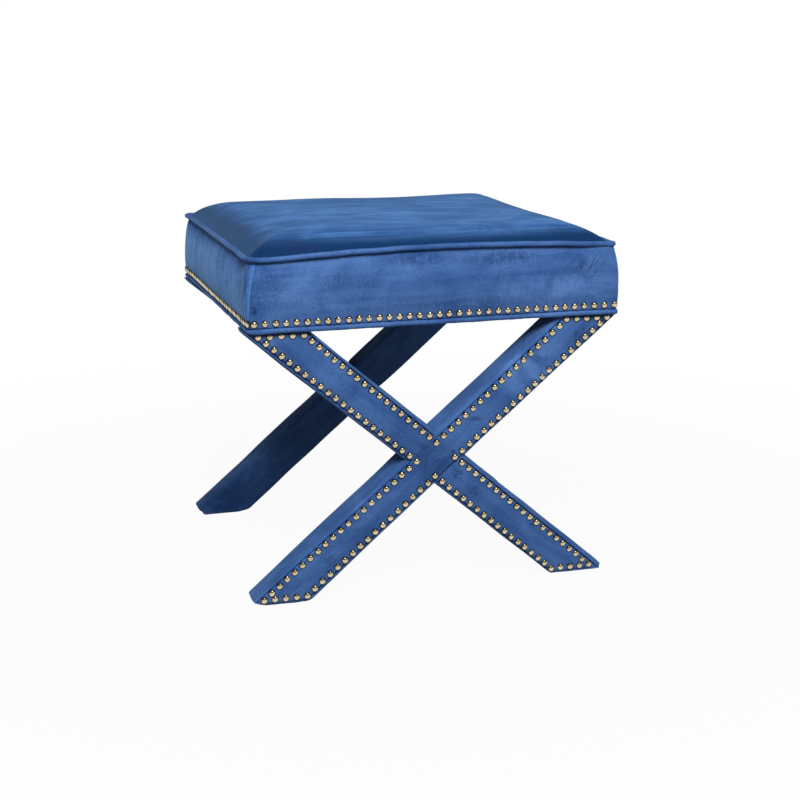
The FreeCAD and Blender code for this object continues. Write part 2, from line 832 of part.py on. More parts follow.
def leg_bolt(point):
    """Makes one hexagon bolt that stands on its washer and runs down into a leg's insert."""
    head_bottom = point + UP * washer_thickness
    corner = bolt_head_across / math.sqrt(3)
    corners = [head_bottom + Vector(corner * math.cos(math.radians(60 * turn)),
                                    corner * math.sin(math.radians(60 * turn)), 0) for turn in range(7)]
    head = Part.Face(Part.makePolygon(corners)).extrude(UP * bolt_head_height)
    return solids_of(head.fuse(rod(bolt_diameter / 2, head_bottom, -UP, bolt_length)))


def leg_washer(point):
    """Makes the washer under one bolt's head."""
    disc = rod(washer_diameter / 2, point, UP, washer_thickness)
    return disc.cut(rod(bolt_diameter / 2 + bolt_clearance, point, UP, washer_thickness))


def leg_insert(point):
    """Makes the threaded insert that takes one bolt in the top of a leg."""
    start = Vector(point.x, point.y, leg_top)
    body = rod(insert_diameter / 2, start, -UP, insert_length)
    return body.cut(rod(bolt_diameter / 2 + insert_clearance, start, -UP, insert_length))


def glide(point):
    """Makes one nail-on glide with its pin upwards."""
    disc = rod(glide_diameter / 2, point, UP, glide_height)
    bottom = [edge for edge in disc.Edges if edge.BoundBox.ZMax < glide_height / 2]
    disc = disc.makeChamfer(glide_chamfer, bottom)
    pin = rod(glide_pin_diameter / 2, point + UP * glide_height, UP, glide_pin_length)
    return solids_of(disc.fuse(pin))


def leg_fasteners():
    """Builds the bolts, washers, inserts, lap screws and glides as groups."""
    points = bolt_points()
    screws = [screw(screw_length, point, -INWARD) for point in lap_screw_points()]
    glides = [glide(point) for point in glide_points()]
    return {
        "leg_bolts": Part.makeCompound([leg_bolt(point) for point in points]),
        "leg_washers": Part.makeCompound([leg_washer(point) for point in points]),
        "leg_inserts": Part.makeCompound([leg_insert(point) for point in points]),
        "lap_screws": Part.makeCompound(screws + [turned(one, 180) for one in screws]),
        "glides": Part.makeCompound(glides + [turned(one, 180) for one in glides]),
    }


def main():
    """Builds every piece and writes each to its own file."""
    nodes = {}
    nodes.update(seat_frame())
    nodes.update(cushion())
    nodes.update(seat_covers())
    nodes.update(legs())
    nodes.update(leg_fasteners())
    os.makedirs("parts", exist_ok=True)
    for name, shape in nodes.items():
        shape.exportStep(os.path.join("parts", name + ".step"))


main()
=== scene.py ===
"""A velvet bench seat on two crossed-leg frames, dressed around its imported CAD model, in metres."""

import logging
import math
from dataclasses import dataclass, field
from enum import Enum
from typing import Any, Sequence

import bpy
import numpy as np
from mathutils import Matrix, Vector


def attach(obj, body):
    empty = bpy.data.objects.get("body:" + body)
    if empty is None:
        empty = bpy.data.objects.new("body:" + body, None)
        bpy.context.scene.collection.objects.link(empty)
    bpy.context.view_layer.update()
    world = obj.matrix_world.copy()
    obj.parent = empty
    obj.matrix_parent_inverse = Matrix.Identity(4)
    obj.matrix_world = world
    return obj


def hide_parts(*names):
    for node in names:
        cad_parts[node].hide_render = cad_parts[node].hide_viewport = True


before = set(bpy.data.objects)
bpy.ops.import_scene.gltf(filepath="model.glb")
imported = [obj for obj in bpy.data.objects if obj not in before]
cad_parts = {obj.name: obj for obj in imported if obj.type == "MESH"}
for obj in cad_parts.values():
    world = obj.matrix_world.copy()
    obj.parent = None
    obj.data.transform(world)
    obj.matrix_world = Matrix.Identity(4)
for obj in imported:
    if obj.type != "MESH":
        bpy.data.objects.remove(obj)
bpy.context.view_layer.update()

MM = 0.001
TURN = 2.0 * math.pi
TINY = 1e-9
Array = np.ndarray
Object = bpy.types.Object
Material = bpy.types.Material
Colour = tuple[float, float, float, float]
Limits = tuple[float, float]
Face = tuple[int, ...]

logging.basicConfig(level=logging.INFO, format="%(message)s")
log = logging.getLogger("bench")


# Plain helpers for shapes

def ease(low: float, high: float, value: Array) -> Array:
    """Gives 0 below low, 1 above high and a smooth rise between."""
    share = np.clip((value - low) / (high - low), 0.0, 1.0)
    return share * share * (3.0 - 2.0 * share)


def crowded(half: float, count: int, crowding: float) -> Array:
    """Spreads places from -half to half that stand closer together at both ends.

    Args:
        half: Half the length to be covered.
        count: Number of places.
        crowding: 0 for even spacing, towards 1 for places crowded at the ends.

    Returns:
        The places in rising order.
    """
    share = np.linspace(-1.0, 1.0, count)
    return half * (share + crowding * np.sin(math.pi * share) / math.pi)


def grid_faces(rows: int, columns: int, wraps: bool = False, start: int = 0) -> list[Face]:
    """Lists the quads of a grid of points that is stored row by row.

    Args:
        rows: Number of rows.
        columns: Number of columns.
        wraps: True where the last column joins the first.
        start: Number of the grid's first point.

    Returns:
        The faces as point numbers.
    """
    faces = []
    last = columns if wraps else columns - 1
    for row in range(rows - 1):
        here = start + row * columns
        above = here + columns
        for column in range(last):
            beside = (column + 1) % columns
            faces.append((here + column, here + beside, above + beside, above + column))
    return faces


@dataclass(frozen=True)
class Wander:
    """A seeded unevenness along a line, as hand work leaves it."""

    seed: int
    size: float
    slowest: int
    fastest: int

    def along(self, share: Array) -> Array:
        """Gives the unevenness at shares of a whole turn.

        Args:
            share: Places along the line, where 1 is a whole turn.

        Returns:
            The sideways distance at each place.
        """
        random = np.random.default_rng(self.seed)
        total = np.zeros_like(share)
        for wave in range(self.slowest, self.fastest + 1):
            strength = random.normal()
            phase = random.random()
            total = total + strength * np.sin(TURN * (wave * share + phase))
        return self.size * total / math.sqrt(self.fastest - self.slowest + 1)


@dataclass(frozen=True)
class Ripples:
    """Seeded soft ripples over a surface, longer one way than the other."""

    seed: int
    size: float
    shortest: float
    longest: float
    stretch: float = 1.0
    count: int = 16

    def over(self, first: Array, second: Array) -> Array:
        """Gives the ripples at places on a surface.

        Args:
            first: Places in the direction that the ripples run.
            second: Places across it.

        Returns:
            The height at each place.
        """
        random = np.random.default_rng(self.seed)
        total = np.zeros(np.broadcast(first, second).shape)
        for _ in range(self.count):
            length = random.uniform(self.shortest, self.longest)
            heading = random.uniform(0.0, TURN)
            phase = random.uniform(0.0, TURN)
            run = first * math.cos(heading) / self.stretch + second * math.sin(heading)
            total = total + np.sin(TURN * run / length + phase)
        return self.size * total / math.sqrt(self.count)


def new_object(name: str, points: Array, faces: Sequence[Face]) -> Object:
    """Makes a smooth mesh object at the origin.

    Args:
        name: Name of the object.
        points: Its points, in any array whose last axis is x, y, z.
        faces: Its faces as point numbers.

    Returns:
        The new object, in the scene.
    """
    mesh = bpy.data.meshes.new(name)
    mesh.from_pydata(points.reshape(-1, 3).tolist(), [], faces)
    mesh.polygons.foreach_set("use_smooth", [True] * len(mesh.polygons))
    mesh.update()
    obj = bpy.data.objects.new(name, mesh)
    bpy.context.collection.objects.link(obj)
    return obj


def face_away(obj: Object, centre: Vector) -> None:
    """Turns a mesh so that its faces look away from a point.

    Args:
        obj: The piece.
        centre: The point.
    """
    outward = sum(face.area * face.normal.dot(face.center - centre) for face in obj.data.polygons)
    if outward < 0.0:
        obj.data.flip_normals()


def add_subdivision(obj: Object, levels: int) -> None:
    """Smooths a piece with a subdivision surface."""
    modifier = obj.modifiers.new("smooth", "SUBSURF")
    modifier.levels = modifier.render_levels = levels


def add_thickness(obj: Object, thickness: float) -> None:
    """Gives a cloth its thickness, on the side away from its faces.

    Args:
        obj: The cloth.
        thickness: Its thickness.
    """
    modifier = obj.modifiers.new("thickness", "SOLIDIFY")
    modifier.thickness = thickness
    modifier.offset = -1.0


def store_across(obj: Object, along: Array, across: Array) -> None:
    """Stores a cloth's own directions as a UV map, so that its pile can follow them.

    Args:
        obj: The piece.
        along: Distance along the cloth at each point.
        across: Distance across it at each point.
    """
    layer = obj.data.uv_layers.new(name="lay")
    corners = np.empty(len(obj.data.loops), dtype=np.int32)
    obj.data.loops.foreach_get("vertex_index", corners)
    places = np.stack((along.ravel()[corners], across.ravel()[corners]), axis=-1)
    layer.data.foreach_set("uv", places.astype(np.float32).ravel())


@dataclass(frozen=True)
class Stuffing:
    """How cloth swells over its filling."""

    pressure: float
    most: float
    slack: float = 0.0
    frames: int = 20
    smoothing: int = 14
    kept_share: float = 0.5
    quality: int = 6
    mass: float = 0.2
    stretch_stiffness: float = 18.0
    shear_stiffness: float = 8.0
    bending_stiffness: float = 1.2

    def settle(self, points: Array, faces: Sequence[Face], held: Array) -> Array:
        """Lets a cloth swell over its filling and come to rest.

        Args:
            points: Places of its points before it swells, in rows and columns.
            faces: Its faces.
            held: How firmly each point is held, from 0 to 1.

        Returns:
            The places where the points come to rest, in the same shape of array.
        """
        obj = new_object("settling", points, faces)
        group = obj.vertex_groups.new(name="held")
        for index, weight in enumerate(held.ravel().tolist()):
            group.add([index], weight, "REPLACE")
        cloth = obj.modifiers.new("cloth", "CLOTH")
        cloth.settings.quality = self.quality
        cloth.settings.mass = self.mass
        cloth.settings.tension_stiffness = self.stretch_stiffness
        cloth.settings.compression_stiffness = self.stretch_stiffness
        cloth.settings.shear_stiffness = self.shear_stiffness
        cloth.settings.bending_stiffness = self.bending_stiffness
        cloth.settings.use_pressure = True
        cloth.settings.uniform_pressure_force = self.pressure
        cloth.settings.shrink_min = -self.slack
        cloth.settings.effector_weights.gravity = 0.0
        cloth.settings.vertex_group_mass = "held"
        cloth.point_cache.frame_start = 1
        cloth.point_cache.frame_end = self.frames
        scene = bpy.context.scene
        for number in range(1, self.frames + 1):
            scene.frame_set(number)
        rested = obj.evaluated_get(bpy.context.evaluated_depsgraph_get()).data
        places = np.empty(len(rested.vertices) * 3)
        rested.vertices.foreach_get("co", places)
        moved = places.reshape(points.shape) - points
        length = np.linalg.norm(moved, axis=-1, keepdims=True)
        moved = moved * np.minimum(1.0, self.most / np.maximum(length, TINY))
        bpy.data.objects.remove(obj)
        scene.frame_set(1)
        neighbour_share = (1.0 - self.kept_share) / 4.0
        for _ in range(self.smoothing):
            beside = moved[:-2, 1:-1] + moved[2:, 1:-1] + moved[1:-1, :-2] + moved[1:-1, 2:]
            moved[1:-1, 1:-1] = self.kept_share * moved[1:-1, 1:-1] + neighbour_share * beside
        return points + moved


# Node trees

class Strand:
    """One output of a node, on which sums are written as plain Python."""

    def __init__(self, recipe: "Recipe", output: bpy.types.NodeSocket) -> None:
        """Keeps the output and the tree that it belongs to."""
        self.recipe = recipe
        self.output = output

    def pick(self, key: int | str) -> "Strand":
        """Gives another output of the same node."""
        return Strand(self.recipe, self.output.node.outputs[key])

    def _sum(self, operation: str, first: Any, second: Any) -> "Strand":
        """Adds one Math node."""
        return self.recipe.add("ShaderNodeMath", {"operation": operation}, {0: first, 1: second})

    def __add__(self, other: Any) -> "Strand":
        """Adds a value or a strand."""
        return self._sum("ADD", self, other)

    __radd__ = __add__

    def __sub__(self, other: Any) -> "Strand":
        """Takes away a value or a strand."""
        return self._sum("SUBTRACT", self, other)

    def __rsub__(self, other: Any) -> "Strand":
        """Takes the strand away from a value."""
        return self._sum("SUBTRACT", other, self)

    def __mul__(self, other: Any) -> "Strand":
        """Multiplies by a value or a strand."""
        return self._sum("MULTIPLY", self, other)

    __rmul__ = __mul__

    def highest(self, other: Any) -> "Strand":
        """Gives the higher of two values."""
        return self._sum("MAXIMUM", self, other)

    def between(self, low: float, high: float) -> "Strand":
        """Gives 0 below low, 1 above high and a smooth rise between."""
        values = {"Value": self, "From Min": low, "From Max": high}
        return self.recipe.add("ShaderNodeMapRange", {"interpolation_type": "SMOOTHSTEP"}, values)


class Recipe:
    """Adds nodes to one tree."""

    def __init__(self, tree: bpy.types.NodeTree) -> None:
        """Starts from an empty tree."""
        self.tree = tree
        tree.nodes.clear()

    def add(self, kind: str, settings: dict[str, Any] | None = None,
            values: dict[int | str, Any] | None = None) -> Strand:
        """Adds any node.

        Args:
            kind: The node's type.
            settings: Its settings, which are set first.
            values: Values or strands for its sockets, by name or number.

        Returns:
            The node's first output.
        """
        node = self.tree.nodes.new(kind)
        for key, setting in (settings or {}).items():
            setattr(node, key, setting)
        for key, value in (values or {}).items():
            if isinstance(value, Strand):
                self.tree.links.new(value.output, node.inputs[key])
            else:
                node.inputs[key].default_value = value
        return Strand(self, node.outputs[0]) if node.outputs else Strand(self, node.inputs[0])

    def noise(self, where: Strand, scale: Any, detail: float = 2.0, distortion: float = 0.0) -> Strand:
        """Adds soft noise, from 0 to 1."""
        values = {"Vector": where, "Scale": scale, "Detail": detail, "Distortion": distortion}
        return self.add("ShaderNodeTexNoise", None, values)

    def stretched(self, where: Strand, scale: Sequence[float]) -> Strand:
        """Stretches or squeezes coordinates."""
        return self.add("ShaderNodeMapping", None, {"Vector": where, "Scale": scale})

    def blend(self, share: Any, first: Any, second: Any) -> Strand:
        """Mixes two colours."""
        mixed = self.add("ShaderNodeMix", {"data_type": "RGBA"}, {0: share, 6: first, 7: second})
        return mixed.pick(2)

    def darken(self, colour: Any, share: Any) -> Strand:
        """Multiplies a colour by a grey value.

        Args:
            colour: The colour.
            share: The grey value.

        Returns:
            The darker colour.
        """
        grey = self.add("ShaderNodeCombineColor", None, {0: share, 1: share, 2: share})
        settings = {"data_type": "RGBA", "blend_type": "MULTIPLY"}
        return self.add("ShaderNodeMix", settings, {0: 1.0, 6: colour, 7: grey}).pick(2)

    def bump(self, height: Strand, strength: float, distance: float) -> Strand:
        """Adds a bump from a height between 0 and 1."""
        values = {"Strength": strength, "Distance": distance, "Height": height}
        return self.add("ShaderNodeBump", None, values)


class MaterialRecipe(Recipe):
    """Adds nodes to a new material with one surface shader."""

    def __init__(self, name: str) -> None:
        """Makes the material.

        Args:
            name: Its name.
        """
        self.material = bpy.data.materials.new(name)
        self.material.use_nodes = True
        super().__init__(self.material.node_tree)
        self.place = self.add("ShaderNodeTexCoord").pick("Object")

    def show(self, shader: Strand) -> None:
        """Makes a shader the material's surface."""
        self.add("ShaderNodeOutputMaterial", None, {"Surface": shader})

    def surface(self, values: dict[int | str, Any]) -> Material:
        """Adds the surface shader and gives the finished material."""
        self.show(self.add("ShaderNodeBsdfPrincipled", None, values))
        return self.material


# Finishes

class PileRun(Enum):
    """The way that streaks in the velvet run on a piece, with how often they repeat each way."""

    CROSSWISE = (8.0, 100.0, 80.0)
    DEEPWISE = (20.0, 48.0, 9.0)
    ALONG = (14.0, 120.0, 1.0)


@dataclass(frozen=True)
class Smudge:
    """A mark of darker or lighter colour on the velvet. Some marks are flattened pile or pile stroked across
    its run at a slant; the others are painted shade and painted sheen, as listed where the marks are given.
    """

    place: tuple[float, float, float]
    reach: tuple[float, float, float]
    strength: float
    slant: float | None = None
    fineness: float = 150.0
    # True where the mark takes the lighter colour: raised pile, partly painted sheen.
    lifted_pile_and_sheen: bool = False
    soft_edge: Limits = (0.25, 1.0)
    patchy: Limits = (0.36, 0.60)
    stroked: Limits = (0.48, 0.62)
    stroke_scale: tuple[float, float, float] = (35.0, 35.0, 260.0)
    evenness: float = 0.15

    def over(self, recipe: "MaterialRecipe") -> Strand:
        """Works out where the mark shows.

        Args:
            recipe: The material that gets the mark.

        Returns:
            How strongly the mark shows, from 0 to 1.
        """
        scale = [1.0 / (size * MM) for size in self.reach]
        shift = [-middle / size for middle, size in zip(self.place, self.reach)]
        values = {"Vector": recipe.place, "Scale": scale, "Location": shift}
        local = recipe.add("ShaderNodeMapping", None, values)
        far = recipe.add("ShaderNodeVectorMath", {"operation": "LENGTH"}, {0: local}).pick("Value")
        if self.slant is None:
            broken = recipe.noise(recipe.place, self.fineness, 3.0, 0.5).between(*self.patchy)
        else:
            values = {"Vector": recipe.place, "Rotation": (0.0, math.radians(self.slant), 0.0)}
            turned = recipe.stretched(recipe.add("ShaderNodeMapping", None, values), self.stroke_scale)
            broken = recipe.noise(turned, 1.0, 2.0).between(*self.stroked)
        uneven = broken * (1.0 - self.evenness) + self.evenness
        return (1.0 - far.between(*self.soft_edge)) * uneven * self.strength


@dataclass(frozen=True)
class Velvet:
    """Deep blue velvet whose pile has been brushed in patches, with painted shade and painted sheen laid into
    its colour in places.
    """

    name: str
    run: PileRun
    base: Colour = (0.028, 0.077, 0.226, 1.0)
    brushed: Colour = (0.069, 0.150, 0.360, 1.0)
    # The darker colour serves flattened pile specks and painted shade marks; the lighter one serves raised
    # pile and painted sheen marks.
    pressed_pile_and_shade: Colour = (0.008, 0.024, 0.085, 1.0)
    lifted_pile_and_sheen: Colour = (0.105, 0.215, 0.500, 1.0)
    sheen: float = 0.38
    sheen_roughness: float = 0.38
    sheen_tint: Colour = (0.30, 0.58, 1.0, 1.0)
    streakiness: float = 0.34
    # Painted shade: where a lower height is given, the colour darkens below the upper height and reaches a
    # dark navy at the lower one, standing in for the shade on the top's shoulders.
    painted_shade_colour: Colour = (0.004, 0.026, 0.088, 1.0)
    painted_shade_below: float | None = None
    painted_shade_ends_above: float = 497.0 * MM
    patch_scale: float = 13.0
    patch_limits: Limits = (0.36, 0.70)
    streak_limits: Limits = (0.36, 0.66)
    mottle_scale: float = 420.0
    pile_scale: float = 1500.0
    speck_scale: float = 85.0
    speck_limits: Limits = (0.64, 0.76)
    speck_strength: float = 0.75
    speckled_scale: float = 7.0
    speckled_limits: Limits = (0.48, 0.68)
    smudges: tuple[Smudge, ...] = ()

    def make(self) -> Material:
        """Builds the material.

        Returns:
            The material.
        """
        recipe = MaterialRecipe(self.name)
        place = recipe.place
        run_place = place
        if self.run is PileRun.ALONG:
            run_place = recipe.add("ShaderNodeUVMap", {"uv_map": "lay"})
        streaks = recipe.noise(recipe.stretched(run_place, self.run.value), 1.0, 3.0, 0.6)
        patches = recipe.noise(place, self.patch_scale, 3.0, 0.8)
        mottle = recipe.noise(place, self.mottle_scale, 2.0)
        pile = recipe.noise(place, self.pile_scale, 1.0)
        specks = recipe.noise(place, self.speck_scale, 2.0, 0.4).between(*self.speck_limits)
        speckled = recipe.noise(place, self.speckled_scale, 1.0).between(*self.speckled_limits)
        patchy = patches.between(*self.patch_limits) * (1.0 - self.streakiness)
        lift = patchy + streaks.between(*self.streak_limits) * self.streakiness
        colour = recipe.blend(lift, self.base, self.brushed)
        # Painted shade on the top's shoulders: the lower the point, the darker its colour.
        if self.painted_shade_below is not None:
            height = recipe.add("ShaderNodeSeparateXYZ", None, {0: place}).pick("Z")
            even = height.between(self.painted_shade_below, self.painted_shade_ends_above)
            colour = recipe.blend(even, self.painted_shade_colour, colour)
        colour = recipe.blend(specks * speckled * self.speck_strength, colour, self.pressed_pile_and_shade)
        # Marks: flattened and stroked pile, painted shade and painted sheen.
        for smudge in self.smudges:
            colour = recipe.blend(smudge.over(recipe), colour, self.lifted_pile_and_sheen if smudge.lifted_pile_and_sheen else self.pressed_pile_and_shade)
        return recipe.surface({
            "Base Color": recipe.darken(colour, mottle * 0.7 + 0.65),
            "Roughness": 0.92 - lift * 0.16,
            "Specular IOR Level": 0.12,
            "Sheen Weight": self.sheen,
            "Sheen Roughness": self.sheen_roughness,
            "Sheen Tint": self.sheen_tint,
            "Normal": recipe.bump(pile * 0.55 + mottle * 0.45, 0.35, 0.5 * MM),
        })


@dataclass(frozen=True)
class DomeBrass:
    """Polished brass nail heads whose rims darken, partly with brown patina and partly with painted shade and
    painted reflection of the dark velvet round them.
    """

    name: str = "dome brass"
    polished: Colour = (0.74, 0.63, 0.40, 1.0)
    warm: Colour = (0.55, 0.43, 0.23, 1.0)
    tarnish_and_shade: Colour = (0.032, 0.020, 0.012, 1.0)

    def make(self) -> Material:
        """Builds the material.

        Returns:
            The material.
        """
        recipe = MaterialRecipe(self.name)
        rim = recipe.add("ShaderNodeAttribute", {"attribute_name": "rim"}).pick("Fac")
        cloud = recipe.noise(recipe.place, 320.0, 2.0)
        colour = recipe.blend(cloud.between(0.35, 0.7), self.polished, self.warm)
        # The darker ring round each rim is partly patina and partly painted shade and painted reflection of
        # the velvet beside the nail.
        dull_and_shaded = (rim + cloud * 0.20).between(0.70, 0.94)
        return recipe.surface({
            "Base Color": recipe.blend(dull_and_shaded, colour, self.tarnish_and_shade),
            "Metallic": 1.0,
            "Roughness": 0.14 + dull_and_shaded * 0.22 + cloud * 0.10,
            "Coat Weight": 0.5,
            "Coat Roughness": 0.12,
            "Normal": recipe.bump(recipe.noise(recipe.place, 900.0, 2.0), 0.08, 0.2 * MM),
        })


@dataclass(frozen=True)
class Timber:
    """Planed hardwood, or plywood where its layers show."""

    name: str
    pale: Colour
    dark: Colour
    grain: tuple[float, float, float]

    def make(self) -> Material:
        """Builds the material.

        Returns:
            The material.
        """
        recipe = MaterialRecipe(self.name)
        fibres = recipe.noise(recipe.stretched(recipe.place, self.grain), 1.0, 4.0, 1.4)
        pores = recipe.noise(recipe.stretched(recipe.place, [6.0 * size for size in self.grain]), 1.0, 2.0)
        colour = recipe.blend(fibres.between(0.30, 0.72), self.pale, self.dark)
        return recipe.surface({
            "Base Color": recipe.darken(colour, pores * 0.3 + 0.85),
            "Roughness": 0.52 + fibres * 0.22,
            "Normal": recipe.bump(fibres * 0.6 + pores * 0.4, 0.25, 0.4 * MM),
        })


@dataclass(frozen=True)
class Plain:
    """A plain hard finish with fine unevenness, such as plated steel or moulded plastic."""

    name: str
    light: Colour
    dark: Colour
    metallic: float
    roughness: float
    scale: float

    def make(self) -> Material:
        """Builds the material.

        Returns:
            The material.
        """
        recipe = MaterialRecipe(self.name)
        cloud = recipe.noise(recipe.place, self.scale, 3.0)
        fine = recipe.noise(recipe.place, self.scale * 7.0, 2.0)
        return recipe.surface({
            "Base Color": recipe.blend(cloud.between(0.3, 0.7), self.light, self.dark),
            "Metallic": self.metallic,
            "Roughness": self.roughness + cloud * 0.18,
            "Normal": recipe.bump(fine, 0.15, 0.2 * MM),
        })


@dataclass(frozen=True)
class LiningCloth:
    """Black bonded cloth under the seat, with its fine heat-bonded spots."""

    name: str = "lining cloth"
    thread: Colour = (0.020, 0.020, 0.022, 1.0)
    spot: Colour = (0.045, 0.045, 0.048, 1.0)
    spot_pitch: float = 2.4 * MM

    def make(self) -> Material:
        """Builds the material.

        Returns:
            The material.
        """
        recipe = MaterialRecipe(self.name)
        settings = {"voronoi_dimensions": "2D", "feature": "F1"}
        values = {"Vector": recipe.place, "Scale": 1.0 / self.spot_pitch, "Randomness": 0.15}
        spots = recipe.add("ShaderNodeTexVoronoi", settings, values).between(0.18, 0.42)
        fibres = recipe.noise(recipe.place, 700.0, 3.0, 1.5)
        return recipe.surface({
            "Base Color": recipe.blend(fibres * (1.0 - spots * 0.6), self.thread, self.spot),
            "Roughness": 0.75 + fibres * 0.2,
            "Normal": recipe.bump(spots * 0.7 + fibres * 0.3, 0.4, 0.3 * MM),
        })


# Painted shade: both marks darken the top's left end and its front-left shoulder, where the shoulders fall
# into shade.
TOP_MARKS = (
    Smudge((-250.0, -40.0, 486.0), (58.0, 240.0, 40.0), 0.90, fineness=14.0),
    Smudge((-190.0, -215.0, 480.0), (90.0, 40.0, 30.0), 0.60, fineness=14.0),
)
# Painted shade: the two marks just under the piping and the long band just above the nails. The rest are a
# dark spot at the front-left corner, dark specks, a slanted stroke of pile and a lighter patch low on the
# right.
FRONT_MARKS = (
    Smudge((-246.0, -228.0, 403.0), (6.0, 20.0, 9.0), 0.95),
    Smudge((-228.0, -228.0, 428.0), (34.0, 20.0, 30.0), 0.40, fineness=330.0),
    Smudge((-138.0, -228.0, 434.0), (26.0, 20.0, 24.0), 0.32, fineness=330.0),
    Smudge((-28.0, -228.0, 459.0), (60.0, 20.0, 12.0), 0.55),
    Smudge((88.0, -228.0, 456.0), (80.0, 20.0, 14.0), 0.55),
    Smudge((206.0, -228.0, 436.0), (46.0, 25.0, 28.0), 0.50, slant=52.0),
    Smudge((60.0, -228.0, 398.0), (170.0, 20.0, 10.0), 0.30),
    Smudge((170.0, -228.0, 414.0), (120.0, 20.0, 24.0), 0.45, lifted_pile_and_sheen=True, fineness=40.0),
)
# Painted shade: the three marks along the upper band, under the piping. The broad mark near the front corner
# darkens the band there; the lighter one towards the middle is raised pile, partly painted sheen.
SIDE_MARKS = (
    Smudge((-254.0, -185.0, 454.0), (20.0, 45.0, 12.0), 0.70),
    Smudge((-254.0, -195.0, 428.0), (20.0, 60.0, 50.0), 0.60, fineness=45.0),
    Smudge((-254.0, 30.0, 420.0), (20.0, 110.0, 40.0), 0.50, lifted_pile_and_sheen=True, fineness=40.0),
    Smudge((-254.0, -60.0, 440.0), (20.0, 60.0, 20.0), 0.45),
    Smudge((-254.0, 110.0, 450.0), (20.0, 70.0, 16.0), 0.50),
)
# Painted shade: the six small marks darken creases in the front covers and panels, and the broad one darkens
# the crossing. The last one darkens the back-left leg and foot, standing in for the seat's shadow. The
# lighter mark high on the rising arm is raised pile, partly painted sheen.
LEG_MARKS = (
    Smudge((31.0, -221.0, 160.0), (11.0, 20.0, 12.0), 0.70),
    Smudge((58.0, -221.0, 137.0), (13.0, 20.0, 9.0), 0.50),
    Smudge((56.0, -221.0, 238.0), (14.0, 20.0, 5.0), 0.60),
    Smudge((-25.0, -221.0, 192.0), (12.0, 20.0, 5.0), 0.40),
    Smudge((-150.0, -221.0, 60.0), (16.0, 20.0, 10.0), 0.35),
    Smudge((205.0, -221.0, 345.0), (14.0, 20.0, 16.0), 0.65),
    Smudge((0.0, -221.0, 187.0), (45.0, 20.0, 42.0), 0.45, fineness=40.0),
    Smudge((135.0, -221.0, 303.0), (60.0, 20.0, 55.0), 0.60, lifted_pile_and_sheen=True, fineness=40.0),
    Smudge((-235.0, 185.0, 10.0), (130.0, 80.0, 110.0), 0.80, fineness=22.0),
)
BEECH = Timber("beech", (0.62, 0.42, 0.24, 1.0), (0.47, 0.29, 0.15, 1.0), (60.0, 60.0, 9.0))
BIRCH = Timber("birch plywood", (0.70, 0.54, 0.35, 1.0), (0.55, 0.39, 0.22, 1.0), (8.0, 70.0, 900.0))
ZINC = Plain("zinc steel", (0.62, 0.63, 0.65, 1.0), (0.46, 0.47, 0.50, 1.0), 1.0, 0.30, 240.0)
NYLON = Plain("black nylon", (0.030, 0.030, 0.032, 1.0), (0.018, 0.018, 0.019, 1.0), 0.0, 0.42, 420.0)
# The top's brushed colour is lighter and its sheen weaker than the front's, so part of its sheen is painted
# into the colour. Its shoulders get painted shade.
TOP_VELVET = Velvet("velvet top", PileRun.CROSSWISE, base=(0.026, 0.094, 0.280, 1.0), streakiness=0.55,
                    brushed=(0.096, 0.235, 0.560, 1.0), sheen=0.52, painted_shade_below=477.0 * MM,
                    smudges=TOP_MARKS)
FRONT_VELVET = Velvet("velvet crosswise", PileRun.CROSSWISE, smudges=FRONT_MARKS)
# Painted sheen: the side bands get a lighter base and brushed colour than the front bands, a lighter copy of
# the same velvet standing in for the sheen that the sides catch.
SIDE_VELVET = Velvet("velvet deepwise", PileRun.DEEPWISE, base=(0.054, 0.146, 0.410, 1.0),
                     brushed=(0.105, 0.230, 0.560, 1.0), sheen=0.36, smudges=SIDE_MARKS)
LEG_VELVET = Velvet("velvet along the leg", PileRun.ALONG, base=(0.028, 0.076, 0.221, 1.0),
                    brushed=(0.059, 0.134, 0.338, 1.0), smudges=LEG_MARKS)


@dataclass(frozen=True)
class Finishes:
    """All finishes of the bench, made once."""

    top: Material = field(default_factory=TOP_VELVET.make)
    crosswise: Material = field(default_factory=FRONT_VELVET.make)
    deepwise: Material = field(default_factory=SIDE_VELVET.make)
    along: Material = field(default_factory=LEG_VELVET.make)
    brass: Material = field(default_factory=DomeBrass().make)
    hardwood: Material = field(default_factory=BEECH.make)
    plywood: Material = field(default_factory=BIRCH.make)
    steel: Material = field(default_factory=ZINC.make)
    plastic: Material = field(default_factory=NYLON.make)
    lining: Material = field(default_factory=LiningCloth().make)


def dress(obj: Object, material: Material, nodes: Sequence[str]) -> None:
    """Finishes a piece: its material, the nodes that it stands for and the body that it rides on.

    Args:
        obj: The piece.
        material: Its material, or the one that its node tree has already set.
        nodes: Names of the CAD nodes that it replaces.
    """
    obj.data.materials.clear()
    obj.data.materials.append(material)
    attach(obj, "root")
    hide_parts(*nodes)
    log.info("%s: %d faces, in place of %s", obj.name, len(obj.data.polygons), ", ".join(nodes))


# Node trees for what repeats or follows a path

